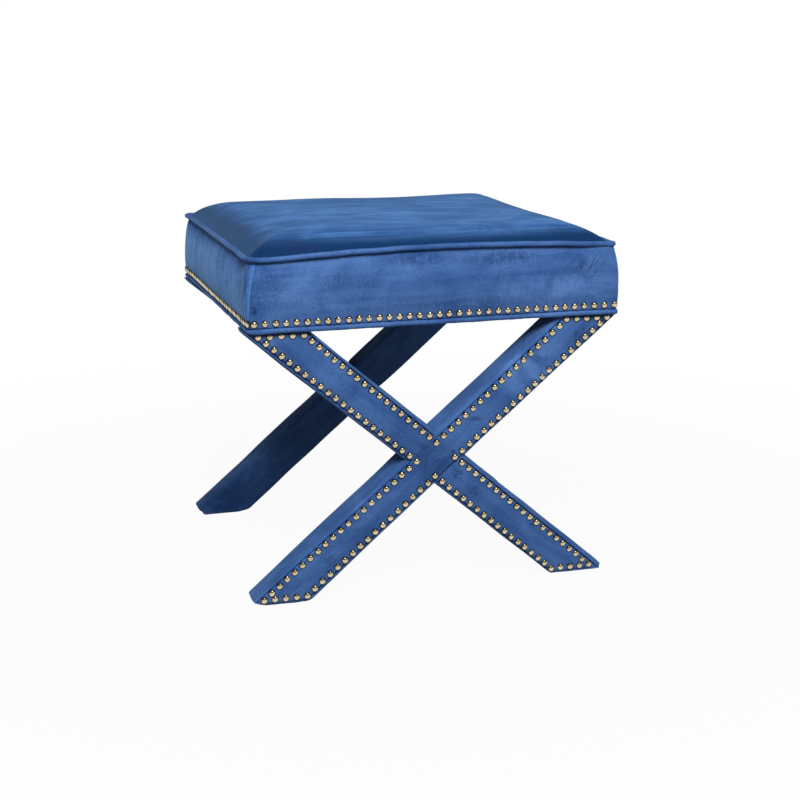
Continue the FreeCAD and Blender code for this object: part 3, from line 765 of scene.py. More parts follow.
class TreeRecipe(Recipe):
    """Adds nodes to a new geometry tree with named inputs."""

    def __init__(self, name: str, inputs: dict[str, str]) -> None:
        """Makes the tree and its inputs.

        Args:
            name: Name of the tree.
            inputs: Name and kind of each input, after the geometry and before the finish.
        """
        super().__init__(bpy.data.node_groups.new(name, "GeometryNodeTree"))
        face = self.tree.interface
        face.new_socket("Geometry", in_out="OUTPUT", socket_type="NodeSocketGeometry")
        face.new_socket("Geometry", in_out="INPUT", socket_type="NodeSocketGeometry")
        self.names = {}
        for title, kind in {**inputs, "Finish": "Material"}.items():
            socket = face.new_socket(title, in_out="INPUT", socket_type="NodeSocket" + kind)
            self.names[title] = socket.identifier
        self.given = self.add("NodeGroupInput")

    def close(self, shape: Strand) -> None:
        """Ends the tree: real faces, smooth, in the finish that is given.

        Args:
            shape: The geometry.
        """
        smooth = self.add("GeometryNodeSetShadeSmooth", None, {"Geometry": shape})
        real = self.add("GeometryNodeRealizeInstances", None, {"Geometry": smooth})
        finish = self.given.pick("Finish")
        done = self.add("GeometryNodeSetMaterial", None, {"Geometry": real, "Material": finish})
        self.add("NodeGroupOutput", None, {0: done})

    def run(self, obj: Object, values: dict[str, Any]) -> None:
        """Runs the tree on an object and keeps the result as its mesh.

        Args:
            obj: The object that carries the points or the path.
            values: Values of the named inputs.
        """
        modifier = obj.modifiers.new("made by rule", "NODES")
        modifier.node_group = self.tree
        for title, value in values.items():
            modifier[self.names[title]] = value
        graph = bpy.context.evaluated_depsgraph_get()
        graph.update()
        mesh = bpy.data.meshes.new_from_object(obj.evaluated_get(graph))
        obj.modifiers.clear()
        obj.data = mesh


@dataclass
class NailDriver:
    """Sets dome nails at points, each a little off its place and a little askew."""

    head_radius: float = 5.1 * MM
    dome_height: float = 3.0 * MM
    rim_depth: float = 0.35 * MM
    sides: int = 12
    ring_shares: tuple[float, ...] = (0.36, 0.68, 0.91, 1.0)
    dome_power: float = 2.4
    rim_share: float = 0.94
    drift: float = 0.28 * MM
    lean: float = math.radians(5.0)
    lean_seed: float = 7.0

    def __post_init__(self) -> None:
        """Builds the tree once."""
        inputs = {"Head": "Object", "Drift": "Float", "Lean": "Float", "Seed": "Int"}
        tree = TreeRecipe("dome nails", inputs)
        given = tree.given
        seed = given.pick("Seed")
        drift = self._either_way(tree, given.pick("Drift"), seed)
        values = {"Geometry": given.pick("Geometry"), "Offset": drift}
        moved = tree.add("GeometryNodeSetPosition", None, values)
        settings = {"data_type": "FLOAT_VECTOR"}
        facing = tree.add("GeometryNodeInputNamedAttribute", settings, {"Name": "facing"})
        upright = tree.add("FunctionNodeAlignRotationToVector", {"axis": "Z"}, {"Vector": facing})
        askew = self._either_way(tree, given.pick("Lean"), seed + self.lean_seed)
        turn = tree.add("FunctionNodeEulerToRotation", None, {0: askew})
        settled = tree.add("FunctionNodeRotateRotation", {"rotation_space": "LOCAL"}, {0: upright, 1: turn})
        head = tree.add("GeometryNodeObjectInfo", None, {"Object": given.pick("Head")}).pick("Geometry")
        nails = tree.add("GeometryNodeInstanceOnPoints", None,
                         {"Points": moved, "Instance": head, "Rotation": settled})
        tree.close(nails)
        self.tree = tree

    @staticmethod
    def _either_way(tree: TreeRecipe, reach: Strand, seed: Strand) -> Strand:
        """Draws a random vector for each point.

        Args:
            tree: The tree.
            reach: How far the vector may go either way.
            seed: Seed of the draw.

        Returns:
            The vector.
        """
        most = tree.add("ShaderNodeCombineXYZ", None, {0: reach, 1: reach, 2: reach})
        least = tree.add("ShaderNodeVectorMath", {"operation": "SCALE"}, {0: most, "Scale": -1.0})
        values = {0: least, 1: most, "Seed": seed}
        return tree.add("FunctionNodeRandomValue", {"data_type": "FLOAT_VECTOR"}, values)

    def head(self) -> Object:
        """Makes one nail head that faces up.

        Returns:
            The head, with the share of its radius stored at each point.
        """
        rings = []
        for share in self.ring_shares:
            rings.append((share * self.head_radius, self.dome_height * (1.0 - share ** self.dome_power)))
        rings.append((self.head_radius * self.rim_share, -self.rim_depth))
        points = [(0.0, 0.0, self.dome_height)]
        rims = [0.0]
        for (radius, height), share in zip(rings, (*self.ring_shares, 1.0)):
            for side in range(self.sides):
                angle = TURN * side / self.sides
                points.append((radius * math.cos(angle), radius * math.sin(angle), height))
                rims.append(share)
        faces = [(0, 1 + side, 1 + (side + 1) % self.sides) for side in range(self.sides)]
        faces += [face[::-1] for face in grid_faces(len(rings), self.sides, wraps=True, start=1)]
        obj = new_object("nail head", np.array(points), faces)
        face_away(obj, Vector((0.0, 0.0, -self.rim_depth)))
        rim = obj.data.attributes.new("rim", "FLOAT", "POINT")
        rim.data.foreach_set("value", rims)
        return obj

    def drive(self, name: str, points: Array, facing: Array, seed: int,
              finish: Material) -> Object:
        """Sets nails at points.

        Args:
            name: Name of the piece.
            points: Where the undersides of the heads are.
            facing: The way that each head faces.
            seed: Seed of the small differences between them.
            finish: Their material.

        Returns:
            The piece with all the nails.
        """
        obj = new_object(name, points, [])
        ways = obj.data.attributes.new("facing", "FLOAT_VECTOR", "POINT")
        ways.data.foreach_set("vector", facing.astype(np.float32).ravel())
        head = self.head()
        values = {"Head": head, "Drift": self.drift, "Lean": self.lean, "Seed": seed, "Finish": finish}
        self.tree.run(obj, values)
        bpy.data.objects.remove(head)
        return obj


@dataclass
class CordRoller:
    """Covers a cord with velvet along a closed path, with the small puckers of the seam."""

    sides: int = 14
    pucker: float = 0.55 * MM
    pucker_scale: float = 190.0

    def __post_init__(self) -> None:
        """Builds the tree once."""
        inputs = {"Radius": "Float", "Sides": "Int", "Pucker": "Float", "Pucker Scale": "Float"}
        tree = TreeRecipe("covered cord", inputs)
        given = tree.given
        path = tree.add("GeometryNodeMeshToCurve", None, {0: given.pick("Geometry")})
        upright = tree.add("GeometryNodeSetCurveNormal", {"mode": "Z_UP"}, {"Curve": path})
        fullness = tree.add("GeometryNodeInputNamedAttribute", {"data_type": "FLOAT"}, {"Name": "fullness"})
        full = tree.add("GeometryNodeSetCurveRadius", None, {"Curve": upright, "Radius": fullness})
        ring = tree.add("GeometryNodeCurvePrimitiveCircle", None,
                        {"Resolution": given.pick("Sides"), "Radius": given.pick("Radius")})
        tube = tree.add("GeometryNodeCurveToMesh", None, {"Curve": full, "Profile Curve": ring})
        place = tree.add("GeometryNodeInputPosition")
        swell = tree.noise(place, given.pick("Pucker Scale"))
        normal = tree.add("GeometryNodeInputNormal")
        lift = (swell - 0.5) * given.pick("Pucker") * 2.0
        offset = tree.add("ShaderNodeVectorMath", {"operation": "SCALE"}, {0: normal, "Scale": lift})
        tree.close(tree.add("GeometryNodeSetPosition", None, {"Geometry": tube, "Offset": offset}))
        self.tree = tree

    def roll(self, name: str, path: Array, fullness: Array, radius: float,
             finish: Material) -> Object:
        """Rolls velvet round a cord.

        Args:
            name: Name of the piece.
            path: Points of the closed path.
            fullness: Share of the radius at each point.
            radius: Radius of the roll.
            finish: Its material.

        Returns:
            The roll.
        """
        obj = new_object(name, path, [])
        count = len(path)
        obj.data.edges.add(count)
        ends = [end for index in range(count) for end in (index, (index + 1) % count)]
        obj.data.edges.foreach_set("vertices", ends)
        obj.data.attributes.new("fullness", "FLOAT", "POINT").data.foreach_set("value", fullness)
        values = {"Radius": radius, "Sides": self.sides, "Pucker": self.pucker,
                  "Pucker Scale": self.pucker_scale, "Finish": finish}
        self.tree.run(obj, values)
        face_away(obj, Vector(path.mean(axis=0)))
        return obj


# The seat

class Side(Enum):
    """The four sides of the seat in order round it, with its number of quarter turns from the front."""

    FRONT = 0
    RIGHT = 1
    BACK = 2
    LEFT = 3

    def turned(self, along: Array, outward: Array) -> Array:
        """Turns places on this side into x and y.

        Args:
            along: Places along the side.
            outward: Their distances from the middle of the seat.

        Returns:
            The points.
        """
        ways = {
            Side.FRONT: (along, -outward),
            Side.RIGHT: (outward, along),
            Side.BACK: (-along, outward),
            Side.LEFT: (-outward, -along),
        }
        return np.stack(ways[self], axis=-1)


def at_corners(sizes: Sequence[float], side: Side, share: Array, reach: float) -> Array:
    """Gives a size that fades away from the two corners of a side.

    Args:
        sizes: The size at each corner, in the order front left, front right, back right, back left.
        side: The side.
        share: Shares of the way along it.
        reach: Share of the way over which the size fades.

    Returns:
        The size at each place.
    """
    first = sizes[side.value] * np.exp(-(share / reach) ** 2)
    last = sizes[(side.value + 1) % len(sizes)] * np.exp(-((1.0 - share) / reach) ** 2)
    return first + last


def raised(flat: Array, level: Array) -> Array:
    """Adds heights to points in x and y."""
    return np.concatenate((flat, level[:, None]), axis=-1)


@dataclass(frozen=True)
class SeatPlan:
    """The seat seen from above at its nail band, walked one side at a time."""

    half_width: float = 253.0 * MM
    half_depth: float = 227.0 * MM
    fullness: tuple[float, ...] = (0.6 * MM, 3.0 * MM, 1.0 * MM, 1.0 * MM)
    fullness_reach: float = 35.0 * MM

    def fullness_at(self, side: Side, share: Array) -> Array:
        """Gives how far the seat stands out near the corners of a side."""
        reach = self.fullness_reach / (2.0 * self.halves(side)[0])
        return at_corners(self.fullness, side, share, reach)

    def halves(self, side: Side) -> tuple[float, float]:
        """Gives half the length of a side and its distance from the middle."""
        pair = (self.half_width, self.half_depth)
        return pair if side in (Side.FRONT, Side.BACK) else pair[::-1]

    def walk(self, side: Side, share: Array, offset: float | Array,
             radii: Sequence[float]) -> tuple[Array, Array]:
        """Walks a side from the middle of one corner to the middle of the next.

        Args:
            side: The side.
            share: Shares of the way, from 0 to 1.
            offset: Distance outside the plan.
            radii: Corner radii in the order front left, front right, back right, back left.

        Returns:
            The points and the outward directions, both in x and y.
        """
        half, reach = self.halves(side)
        half = half + offset
        reach = reach + offset
        first = radii[side.value]
        last = radii[(side.value + 1) % len(radii)]
        first_arc = first * math.pi / 4.0
        straight = 2.0 * half - first - last
        distance = share * (first_arc + straight + last * math.pi / 4.0)
        first_turn = np.clip((first_arc - distance) / first, 0.0, None)
        last_turn = np.clip((distance - first_arc - straight) / last, 0.0, None)
        along = first - half + np.clip(distance - first_arc, 0.0, straight)
        along = along - first * np.sin(first_turn) + last * np.sin(last_turn)
        outward = reach - first * (1.0 - np.cos(first_turn)) - last * (1.0 - np.cos(last_turn))
        lean = last_turn - first_turn
        return side.turned(along, outward), side.turned(np.sin(lean), np.cos(lean))


@dataclass(frozen=True)
class PipingLine:
    """The line of the piping round the top of the seat, which rises a little along the front and back."""

    height: float = 466.5 * MM
    offset: float = -3.4 * MM
    radii: tuple[float, ...] = (30.0 * MM, 6.5 * MM, 9.0 * MM, 8.0 * MM)
    rises: tuple[float, ...] = (7.2 * MM, 1.5 * MM, 4.0 * MM, 0.3 * MM)
    skews: tuple[float, ...] = (1.12, 1.0, 1.0, 1.0)
    dips: tuple[float, ...] = (1.6 * MM, 0.0, 0.3 * MM, 0.0)
    dip_share: float = 0.14

    def rise(self, side: Side, share: Array) -> Array:
        """Gives how far the piping rises along a side, and dips at a slack corner."""
        rise = self.rises[side.value] * np.sin(math.pi * share ** self.skews[side.value])
        return rise - at_corners(self.dips, side, share, self.dip_share)


@dataclass
class Cushion:
    """The crowned top of the seat: a velvet panel over wadding and foam, closed underneath."""

    plan: SeatPlan
    line: PipingLine
    finishes: Finishes
    set_in: float = 7.0 * MM
    border_height: float = 465.0 * MM
    border_inset: float = 1e-6
    crown: float = 28.0 * MM
    shoulder: float = 15.0 * MM
    shoulder_share: float = 0.82
    corner_sharpness: float = 9.0
    fade: float = 30.0 * MM
    nearness: float = 2.0 * MM
    grip: float = 0.06
    columns: int = 96
    rows: int = 88
    crowding: float = 0.62
    skirt: tuple[tuple[float, float], ...] = ((-8.2 * MM, 462.0 * MM), (-10.0 * MM, 440.0 * MM))
    base_height: float = 420.8 * MM
    stuffing: Stuffing = Stuffing(pressure=4.0, most=2.0 * MM)
    dents: Ripples = Ripples(seed=5, size=0.9 * MM, shortest=90.0 * MM, longest=260.0 * MM)
    dents_between: Limits = (8.0 * MM, 60.0 * MM)

    @property
    def halves(self) -> tuple[float, float]:
        """Gives half the panel's width and half its depth."""
        return self.plan.half_width - self.set_in, self.plan.half_depth - self.set_in

    def panel(self) -> Array:
        """Lays out the crowned panel before it swells.

        Returns:
            Its points, row by row from the front.
        """
        half_x, half_y = self.halves
        across, deep = np.meshgrid(crowded(half_x, self.columns, self.crowding),
                                   crowded(half_y, self.rows, self.crowding))
        power = -self.corner_sharpness
        to_side = np.maximum(half_x - np.abs(across), self.border_inset)
        to_end = np.maximum(half_y - np.abs(deep), self.border_inset)
        inset = (to_side ** power + to_end ** power) ** (1.0 / power)
        quick = self.shoulder_share * (1.0 - np.exp(-inset / self.shoulder))
        slow = (1.0 - self.shoulder_share) * (1.0 - (1.0 - np.minimum(inset / half_y, 1.0)) ** 2)
        height = self.border_height + self.crown * (quick + slow)
        height = height + self.border_rise(across, deep) * np.exp(-inset / self.fade)
        across, deep = self.round_corners(across, deep)
        return np.stack((across, deep, height), axis=-1)

    def border_rise(self, across: Array, deep: Array) -> Array:
        """Gives the piping's rise at the nearest side of the border.

        Args:
            across: Places across the seat.
            deep: Places from front to back.

        Returns:
            The rise at each place.
        """
        half_x, half_y = self.halves
        share_x = (across / half_x + 1.0) / 2.0
        share_y = (deep / half_y + 1.0) / 2.0
        near = {
            Side.FRONT: (half_y + deep, share_x),
            Side.RIGHT: (half_x - across, share_y),
            Side.BACK: (half_y - deep, 1.0 - share_x),
            Side.LEFT: (half_x + across, 1.0 - share_y),
        }
        total = np.zeros_like(across)
        weight = np.zeros_like(across)
        for side, (distance, share) in near.items():
            pull = 1.0 / (distance + self.nearness) ** 2
            total = total + pull * self.line.rise(side, share)
            weight = weight + pull
        return total / weight

    def round_corners(self, across: Array, deep: Array) -> tuple[Array, Array]:
        """Bends the square corners of the grid round to the corners of the piping.

        Args:
            across: Places across the seat.
            deep: Places from front to back.

        Returns:
            The new places across and from front to back.
        """
        half_x, half_y = self.halves
        for index, (sign_x, sign_y) in enumerate(((-1, -1), (1, -1), (1, 1), (-1, 1))):
            radius = self.line.radii[index]
            local_x = sign_x * across - (half_x - radius)
            local_y = sign_y * deep - (half_y - radius)
            inside = (local_x > 0.0) & (local_y > 0.0)
            reach = np.maximum(local_x, local_y)
            length = np.maximum(np.hypot(local_x, local_y), TINY)
            scale = np.where(inside, reach / length, 1.0)
            across = np.where(inside, sign_x * (half_x - radius + local_x * scale), across)
            deep = np.where(inside, sign_y * (half_y - radius + local_y * scale), deep)
        return across, deep

    def build(self) -> None:
        """Swells the panel over its filling, closes it underneath and dresses it."""
        panel = self.panel()
        faces = grid_faces(self.rows, self.columns)
        numbers = np.arange(self.rows * self.columns).reshape(self.rows, self.columns)
        sides = (numbers[0], numbers[1:-1, -1], numbers[-1, ::-1], numbers[-2:0:-1, 0])
        border = np.concatenate(sides).tolist()
        held = np.full(self.rows * self.columns, self.grip)
        held[border] = 1.0
        points = self.stuffing.settle(panel, faces, held).reshape(-1, 3)
        half_x, half_y = self.halves
        inset = np.minimum(half_x - np.abs(points[:, 0]), half_y - np.abs(points[:, 1]))
        points[:, 2] += self.dents.over(points[:, 0], points[:, 1]) * ease(*self.dents_between, inset)
        loops = [points]
        start = len(points)
        above = border
        for offset, height in self.skirt:
            loops.append(self.drawn_in(points[border], offset, height))
            below = list(range(start, start + len(border)))
            faces += self.wall(above, below)
            start += len(border)
            above = below
        loops.append(self.drawn_in(points, self.skirt[-1][0], self.base_height))
        faces += self.wall(above, [start + number for number in border])
        faces += [face[::-1] for face in grid_faces(self.rows, self.columns, start=start)]
        obj = new_object("seat_cushion", np.concatenate(loops), faces)
        face_away(obj, Vector((0.0, 0.0, self.base_height)))
        add_subdivision(obj, 1)
        dress(obj, self.finishes.top, ("seat_top_panel", "seat_wadding", "seat_foam"))

    def drawn_in(self, points: Array, offset: float, height: float) -> Array:
        """Draws points of the panel in, all to one height.

        Args:
            points: The points.
            offset: Distance outside the plan to which the border is drawn.
            height: The height.

        Returns:
            The new points.
        """
        half_x, half_y = self.halves
        scale_x = (self.plan.half_width + offset) / half_x
        scale_y = (self.plan.half_depth + offset) / half_y
        return points * np.array((scale_x, scale_y, 0.0)) + np.array((0.0, 0.0, height))

    @staticmethod
    def wall(above: list[int], below: list[int]) -> list[Face]:
        """Closes the gap between an upper and a lower ring of points."""
        return list(zip(above[1:] + above[:1], above, below, below[1:] + below[:1]))


@dataclass
class Boxing:
    """The four velvet bands round the seat, held at the nails, bulged above and drawn in at the piping."""

    plan: SeatPlan
    line: PipingLine
    finishes: Finishes
    driver: NailDriver
    nail_height: float = 385.2 * MM
    nail_pitch: float = 13.6 * MM
    nail_sink: float = 0.2 * MM
    nail_insets: tuple[tuple[float, float], ...] = (
        (8.0 * MM, 5.2 * MM), (9.0 * MM, 9.0 * MM), (9.0 * MM, 9.0 * MM), (9.0 * MM, 3.5 * MM),
    )
    bottom: float = 379.0 * MM
    band_top: float = 392.0 * MM
    top: float = 462.9 * MM
    tucked_in: float = 8.0 * MM
    lean_out: float = 7.1 * MM
    draw_in: float = 13.4 * MM
    swell: float = 3.0 * MM
    swell_reach: float = 70.0 * MM
    thickness: float = 1.2 * MM
    columns: int = 170
    rows: int = 32
    crowding: float = 0.35
    base_radii: tuple[float, ...] = (6.5 * MM, 5.0 * MM, 7.0 * MM, 7.0 * MM)
    upright: float = 1.5
    lower_tuck: tuple[tuple[float, float], ...] = (
        (1.9 * MM, -6.0 * MM), (0.6 * MM, -3.8 * MM), (0.0, -2.0 * MM), (0.25 * MM, -0.7 * MM),
        (1.3 * MM, -0.08 * MM),
    )
    lower_round: float = 3.4 * MM
    upper_tuck: tuple[float, float] = (0.9 * MM, -1.6 * MM)
    nail_pull: float = 0.75 * MM
    nail_pull_reach: float = 4.6 * MM
    puff: float = 0.55 * MM
    puff_reach: float = 9.0 * MM
    pucker: float = 0.55 * MM
    pucker_reach: float = 9.0 * MM
    pucker_start: float = 3.0 * MM
    ripple: float = 0.35 * MM
    free_rise: float = 14.0 * MM
    free_fall: float = 6.0 * MM
    free_share: float = 0.95
    held_ends: float = 0.05
    stuffing: Stuffing = Stuffing(pressure=3.0, most=0.8 * MM, slack=0.002)

    def nail_shares(self, side: Side) -> Array:
        """Spaces the nails of a side.

        Args:
            side: The side.

        Returns:
            Their places as shares of the way along it.
        """
        half, _ = self.plan.halves(side)
        first, last = self.nail_insets[side.value]
        first_radius = self.base_radii[side.value]
        last_radius = self.base_radii[(side.value + 1) % len(self.base_radii)]
        first_arc = first_radius * math.pi / 4.0
        length = first_arc + 2.0 * half - first_radius - last_radius + last_radius * math.pi / 4.0
        gaps = round((2.0 * half - first - last) / self.nail_pitch)
        places = np.linspace(first, 2.0 * half - last, gaps + 1)
        return (places - first_radius + first_arc) / length

    def band(self, side: Side) -> tuple[Array, Array, Array]:
        """Lays out the band of a side before it swells.

        Args:
            side: The side.

        Returns:
            Its points, their outward directions and their places along the side.
        """
        share = (crowded(1.0, self.columns, self.crowding) + 1.0) / 2.0
        rows = [(self.bottom + up, out) for up, out in self.lower_tuck]
        rows += [(up, 0.0) for up in np.linspace(self.bottom + self.lower_round, self.top, self.rows)]
        rows.append((self.top + self.upper_tuck[0], self.upper_tuck[1]))
        rise = self.line.rise(side, share)
        fullness = self.plan.fullness_at(side, share)
        half, _ = self.plan.halves(side)
        to_corner = np.minimum(share, 1.0 - share) * 2.0 * half
        points = []
        outward = []
        for height, tuck in rows:
            full = min(max((height - self.nail_height) / (self.top - self.nail_height), 0.0), 1.0)
            swell = self.swell * 4.0 * full * (1.0 - full) * (1.0 - np.exp(-to_corner / self.swell_reach))
            out = self.lean_out * full - self.draw_in * full ** 2 + swell
            out = out + fullness * (1.0 + (self.upright - 1.0) * full ** 2) + tuck
            up = float(np.clip((height - self.band_top) / (self.top - self.band_top), 0.0, 1.0))
            radii = [base + (upper - base) * up for base, upper in zip(self.base_radii, self.line.radii)]
            flat, away = self.plan.walk(side, share, out, radii)
            level = np.full_like(share, height) + rise * up
            points.append(raised(flat, level))
            outward.append(raised(away, np.zeros_like(level)))
        places = np.broadcast_to((share * 2.0 - 1.0) * half, (len(rows), self.columns))
        return np.array(points), np.array(outward), places

    def pulled(self, side: Side, places: Array, heights: Array) -> Array:
        """Gives how nails and seams pull the band in and let it puff out between.

        Args:
            side: The side.
            places: Places of the band's points along it.
            heights: Their heights.

        Returns:
            The distance outwards at each point.
        """
        half, _ = self.plan.halves(side)
        nails = (self.nail_shares(side) * 2.0 - 1.0) * half
        nearest = np.min(np.abs(places[:, :, None] - nails[None, None, :]), axis=-1)
        above = heights - self.nail_height
        spot = np.exp(-(nearest ** 2 + above ** 2) / (2.0 * self.nail_pull_reach ** 2))
        between = (1.0 - np.cos(TURN * nearest / self.nail_pitch)) / 2.0
        puff = between * np.exp(-(above / self.puff_reach) ** 2)
        turn = (places / half + 1.0) / 2.0
        seam = Wander(seed=20 + side.value, size=self.pucker, slowest=18, fastest=44).along(turn)
        below_seam = np.maximum(self.top - heights, 0.0)
        pucker = seam * np.exp(-below_seam / self.pucker_reach) * ease(0.0, self.pucker_start, below_seam)
        soft = Ripples(seed=30 + side.value, size=self.ripple, shortest=40.0 * MM, longest=120.0 * MM)
        middle = ease(2.0 * MM, 20.0 * MM, heights - self.band_top) * ease(0.0, 15.0 * MM, below_seam)
        drawn = self.puff * puff - self.nail_pull * spot
        return drawn + pucker + soft.over(places, heights) * middle

    def build(self, side: Side) -> None:
        """Builds and dresses the band of one side.

        Args:
            side: The side.
        """
        points, outward, places = self.band(side)
        rows, columns = places.shape
        faces = grid_faces(rows, columns)
        heights = points[:, :, 2]
        free = ease(self.band_top, self.band_top + self.free_rise, heights)
        free = free * ease(0.0, self.free_fall, self.top - heights)
        to_end = np.minimum(places - places.min(), places.max() - places) / np.ptp(places)
        held = 1.0 - self.free_share * free * ease(0.0, self.held_ends, to_end)
        points = self.stuffing.settle(points, faces, held)
        points = points + outward * self.pulled(side, places, heights)[:, :, None]
        name = side.name.lower()
        obj = new_object(name + "_band", points, faces)
        face_away(obj, Vector((0.0, 0.0, self.band_top)))
        add_thickness(obj, self.thickness)
        add_subdivision(obj, 1)
        along = side in (Side.FRONT, Side.BACK)
        material = self.finishes.crosswise if along else self.finishes.deepwise
        dress(obj, material, (name + "_boxing",))
        half, _ = self.plan.halves(side)
        length = 2.0 * half - (2.0 - math.pi / 2.0) * self.base_radii[side.value]

    def nail_row(self, side: Side) -> None:
        """Drives the nails of one side.

        Args:
            side: The side.
        """
        share = self.nail_shares(side)
        out = self.plan.fullness_at(side, share) - self.nail_sink
        flat, away = self.plan.walk(side, share, out, self.base_radii)
        points = raised(flat, np.full_like(share, self.nail_height))
        facing = raised(away, np.zeros_like(share))
        name = side.name.lower()
        obj = self.driver.drive(name + "_nail_row", points, facing, 40 + side.value, self.finishes.brass)
        dress(obj, self.finishes.brass, (name + "_seat_nails",))


@dataclass
class Rolls:
    """The piping round the top of the seat and the welt round its bottom edge."""

    plan: SeatPlan
    line: PipingLine
    finishes: Finishes
    roller: CordRoller
    radius: float = 3.5 * MM
    welt_height: float = 375.1 * MM
    welt_offset: float = -2.5 * MM
    welt_radii: tuple[float, ...] = (8.5 * MM, 5.0 * MM, 8.5 * MM, 8.5 * MM)
    points_a_side: int = 150
    unevenness: float = 0.30 * MM
    ear: float = 1.8 * MM
    ear_length: float = 7.0 * MM
    ear_fullness: float = 0.16
    ears: tuple[int, ...] = (1, 3)
    waves: tuple[int, int] = (5, 40)

    def ring(self, offset: float, radii: Sequence[float], level: float, seed: int,
             full: bool) -> tuple[Array, Array]:
        """Gives the closed path of a roll and its fullness.

        Args:
            offset: Distance of its middle outside the plan.
            radii: Corner radii.
            level: Its height at the corners.
            seed: Seed of its unevenness.
            full: True where it follows the fullness of the corners, False where it rises with the piping.

        Returns:
            The points and the share of the radius at each.
        """
        share = np.arange(self.points_a_side) / self.points_a_side
        parts = []
        for side in Side:
            out = offset + full * self.plan.fullness_at(side, share)
            height = level + (not full) * self.line.rise(side, share)
            parts.append((*self.plan.walk(side, share, out, radii), height))
        flat, away, height = (np.concatenate(part) for part in zip(*parts))
        turn = np.arange(len(flat)) / len(flat)
        sideways = Wander(seed, self.unevenness, *self.waves).along(turn)
        upwards = Wander(seed + 1, self.unevenness, *self.waves).along(turn)
        standing = np.zeros_like(turn)
        for corner in self.ears:
            distance = np.full((len(Side), self.points_a_side), 1.0)
            for side, way in ((Side(corner), share), (Side(corner - 1), 1.0 - share)):
                distance[side.value] = 2.0 * self.plan.halves(side)[0] * way
            standing = standing + np.exp(-(distance.ravel() / self.ear_length) ** 2)
        flat = flat + away * (sideways + self.ear * standing)[:, None]
        fullness = 1.0 + self.ear_fullness * standing + Wander(seed + 2, 0.03, 8, 60).along(turn)
        return raised(flat, height + upwards), fullness

    def build(self) -> None:
        """Rolls and dresses the piping and the welt."""
        velvet = self.finishes.crosswise
        path, fullness = self.ring(self.line.offset, self.line.radii, self.line.height, 60, False)
        piping = self.roller.roll("top_piping_roll", path, fullness, self.radius, velvet)
        dress(piping, velvet, ("top_piping", "top_piping_cord"))
        path, fullness = self.ring(self.welt_offset, self.welt_radii, self.welt_height, 70, True)
        welt = self.roller.roll("bottom_welt_roll", path, fullness, self.radius, velvet)
        dress(welt, velvet, ("bottom_welt", "bottom_welt_cord"))


@dataclass
class DustSheet:
    """The lining under the seat, stapled round its edge and slack between the legs."""

    plan: SeatPlan
    finishes: Finishes
    set_in: float = 7.0 * MM
    height: float = 371.9 * MM
    sag: float = 3.5 * MM
    thickness: float = 0.4 * MM
    columns: int = 64
    rows: int = 56
    leg_inner_y: float = 176.0 * MM
    stapled: float = 14.0 * MM
    sag_in_x: float = 90.0 * MM
    sag_in_y: float = 60.0 * MM
    slack: Ripples = Ripples(seed=80, size=0.5 * MM, shortest=60.0 * MM, longest=160.0 * MM)

    def build(self) -> None:
        """Builds and dresses the lining."""
        half_x = self.plan.half_width - self.set_in
        half_y = self.plan.half_depth - self.set_in
        across, deep = np.meshgrid(np.linspace(-half_x, half_x, self.columns),
                                   np.linspace(-half_y, half_y, self.rows))
        free_y = ease(0.0, self.sag_in_y, self.leg_inner_y - np.abs(deep))
        free_x = ease(0.0, self.sag_in_x, half_x - np.abs(across) - self.stapled)
        height = self.height + (self.slack.over(across, deep) - self.sag) * free_x * free_y
        points = np.stack((across, deep, height), axis=-1)
        obj = new_object("dust_sheet", points, grid_faces(self.rows, self.columns))
        face_away(obj, Vector((0.0, 0.0, self.height + half_x)))
        add_thickness(obj, self.thickness)
        dress(obj, self.finishes.lining, ("dust_cover",))


# The crossed legs

class Arm(Enum):
    """The two arms of a crossed-leg frame, seen from outside it."""

    RISING = 1
    FALLING = -1

    @property
    def other(self) -> "Arm":
        """Gives the arm that crosses this one."""
        return Arm(-self.value)


@dataclass(frozen=True)
class Stretch:
    """A stretch of an arm, with whether its lower or its upper end lies at the crossing."""

    arm: Arm
    at_lower: bool = False
    at_upper: bool = False


class Place(Enum):
    """The two frames, with the sign of their x and y."""

    FRONT = 1
    BACK = -1


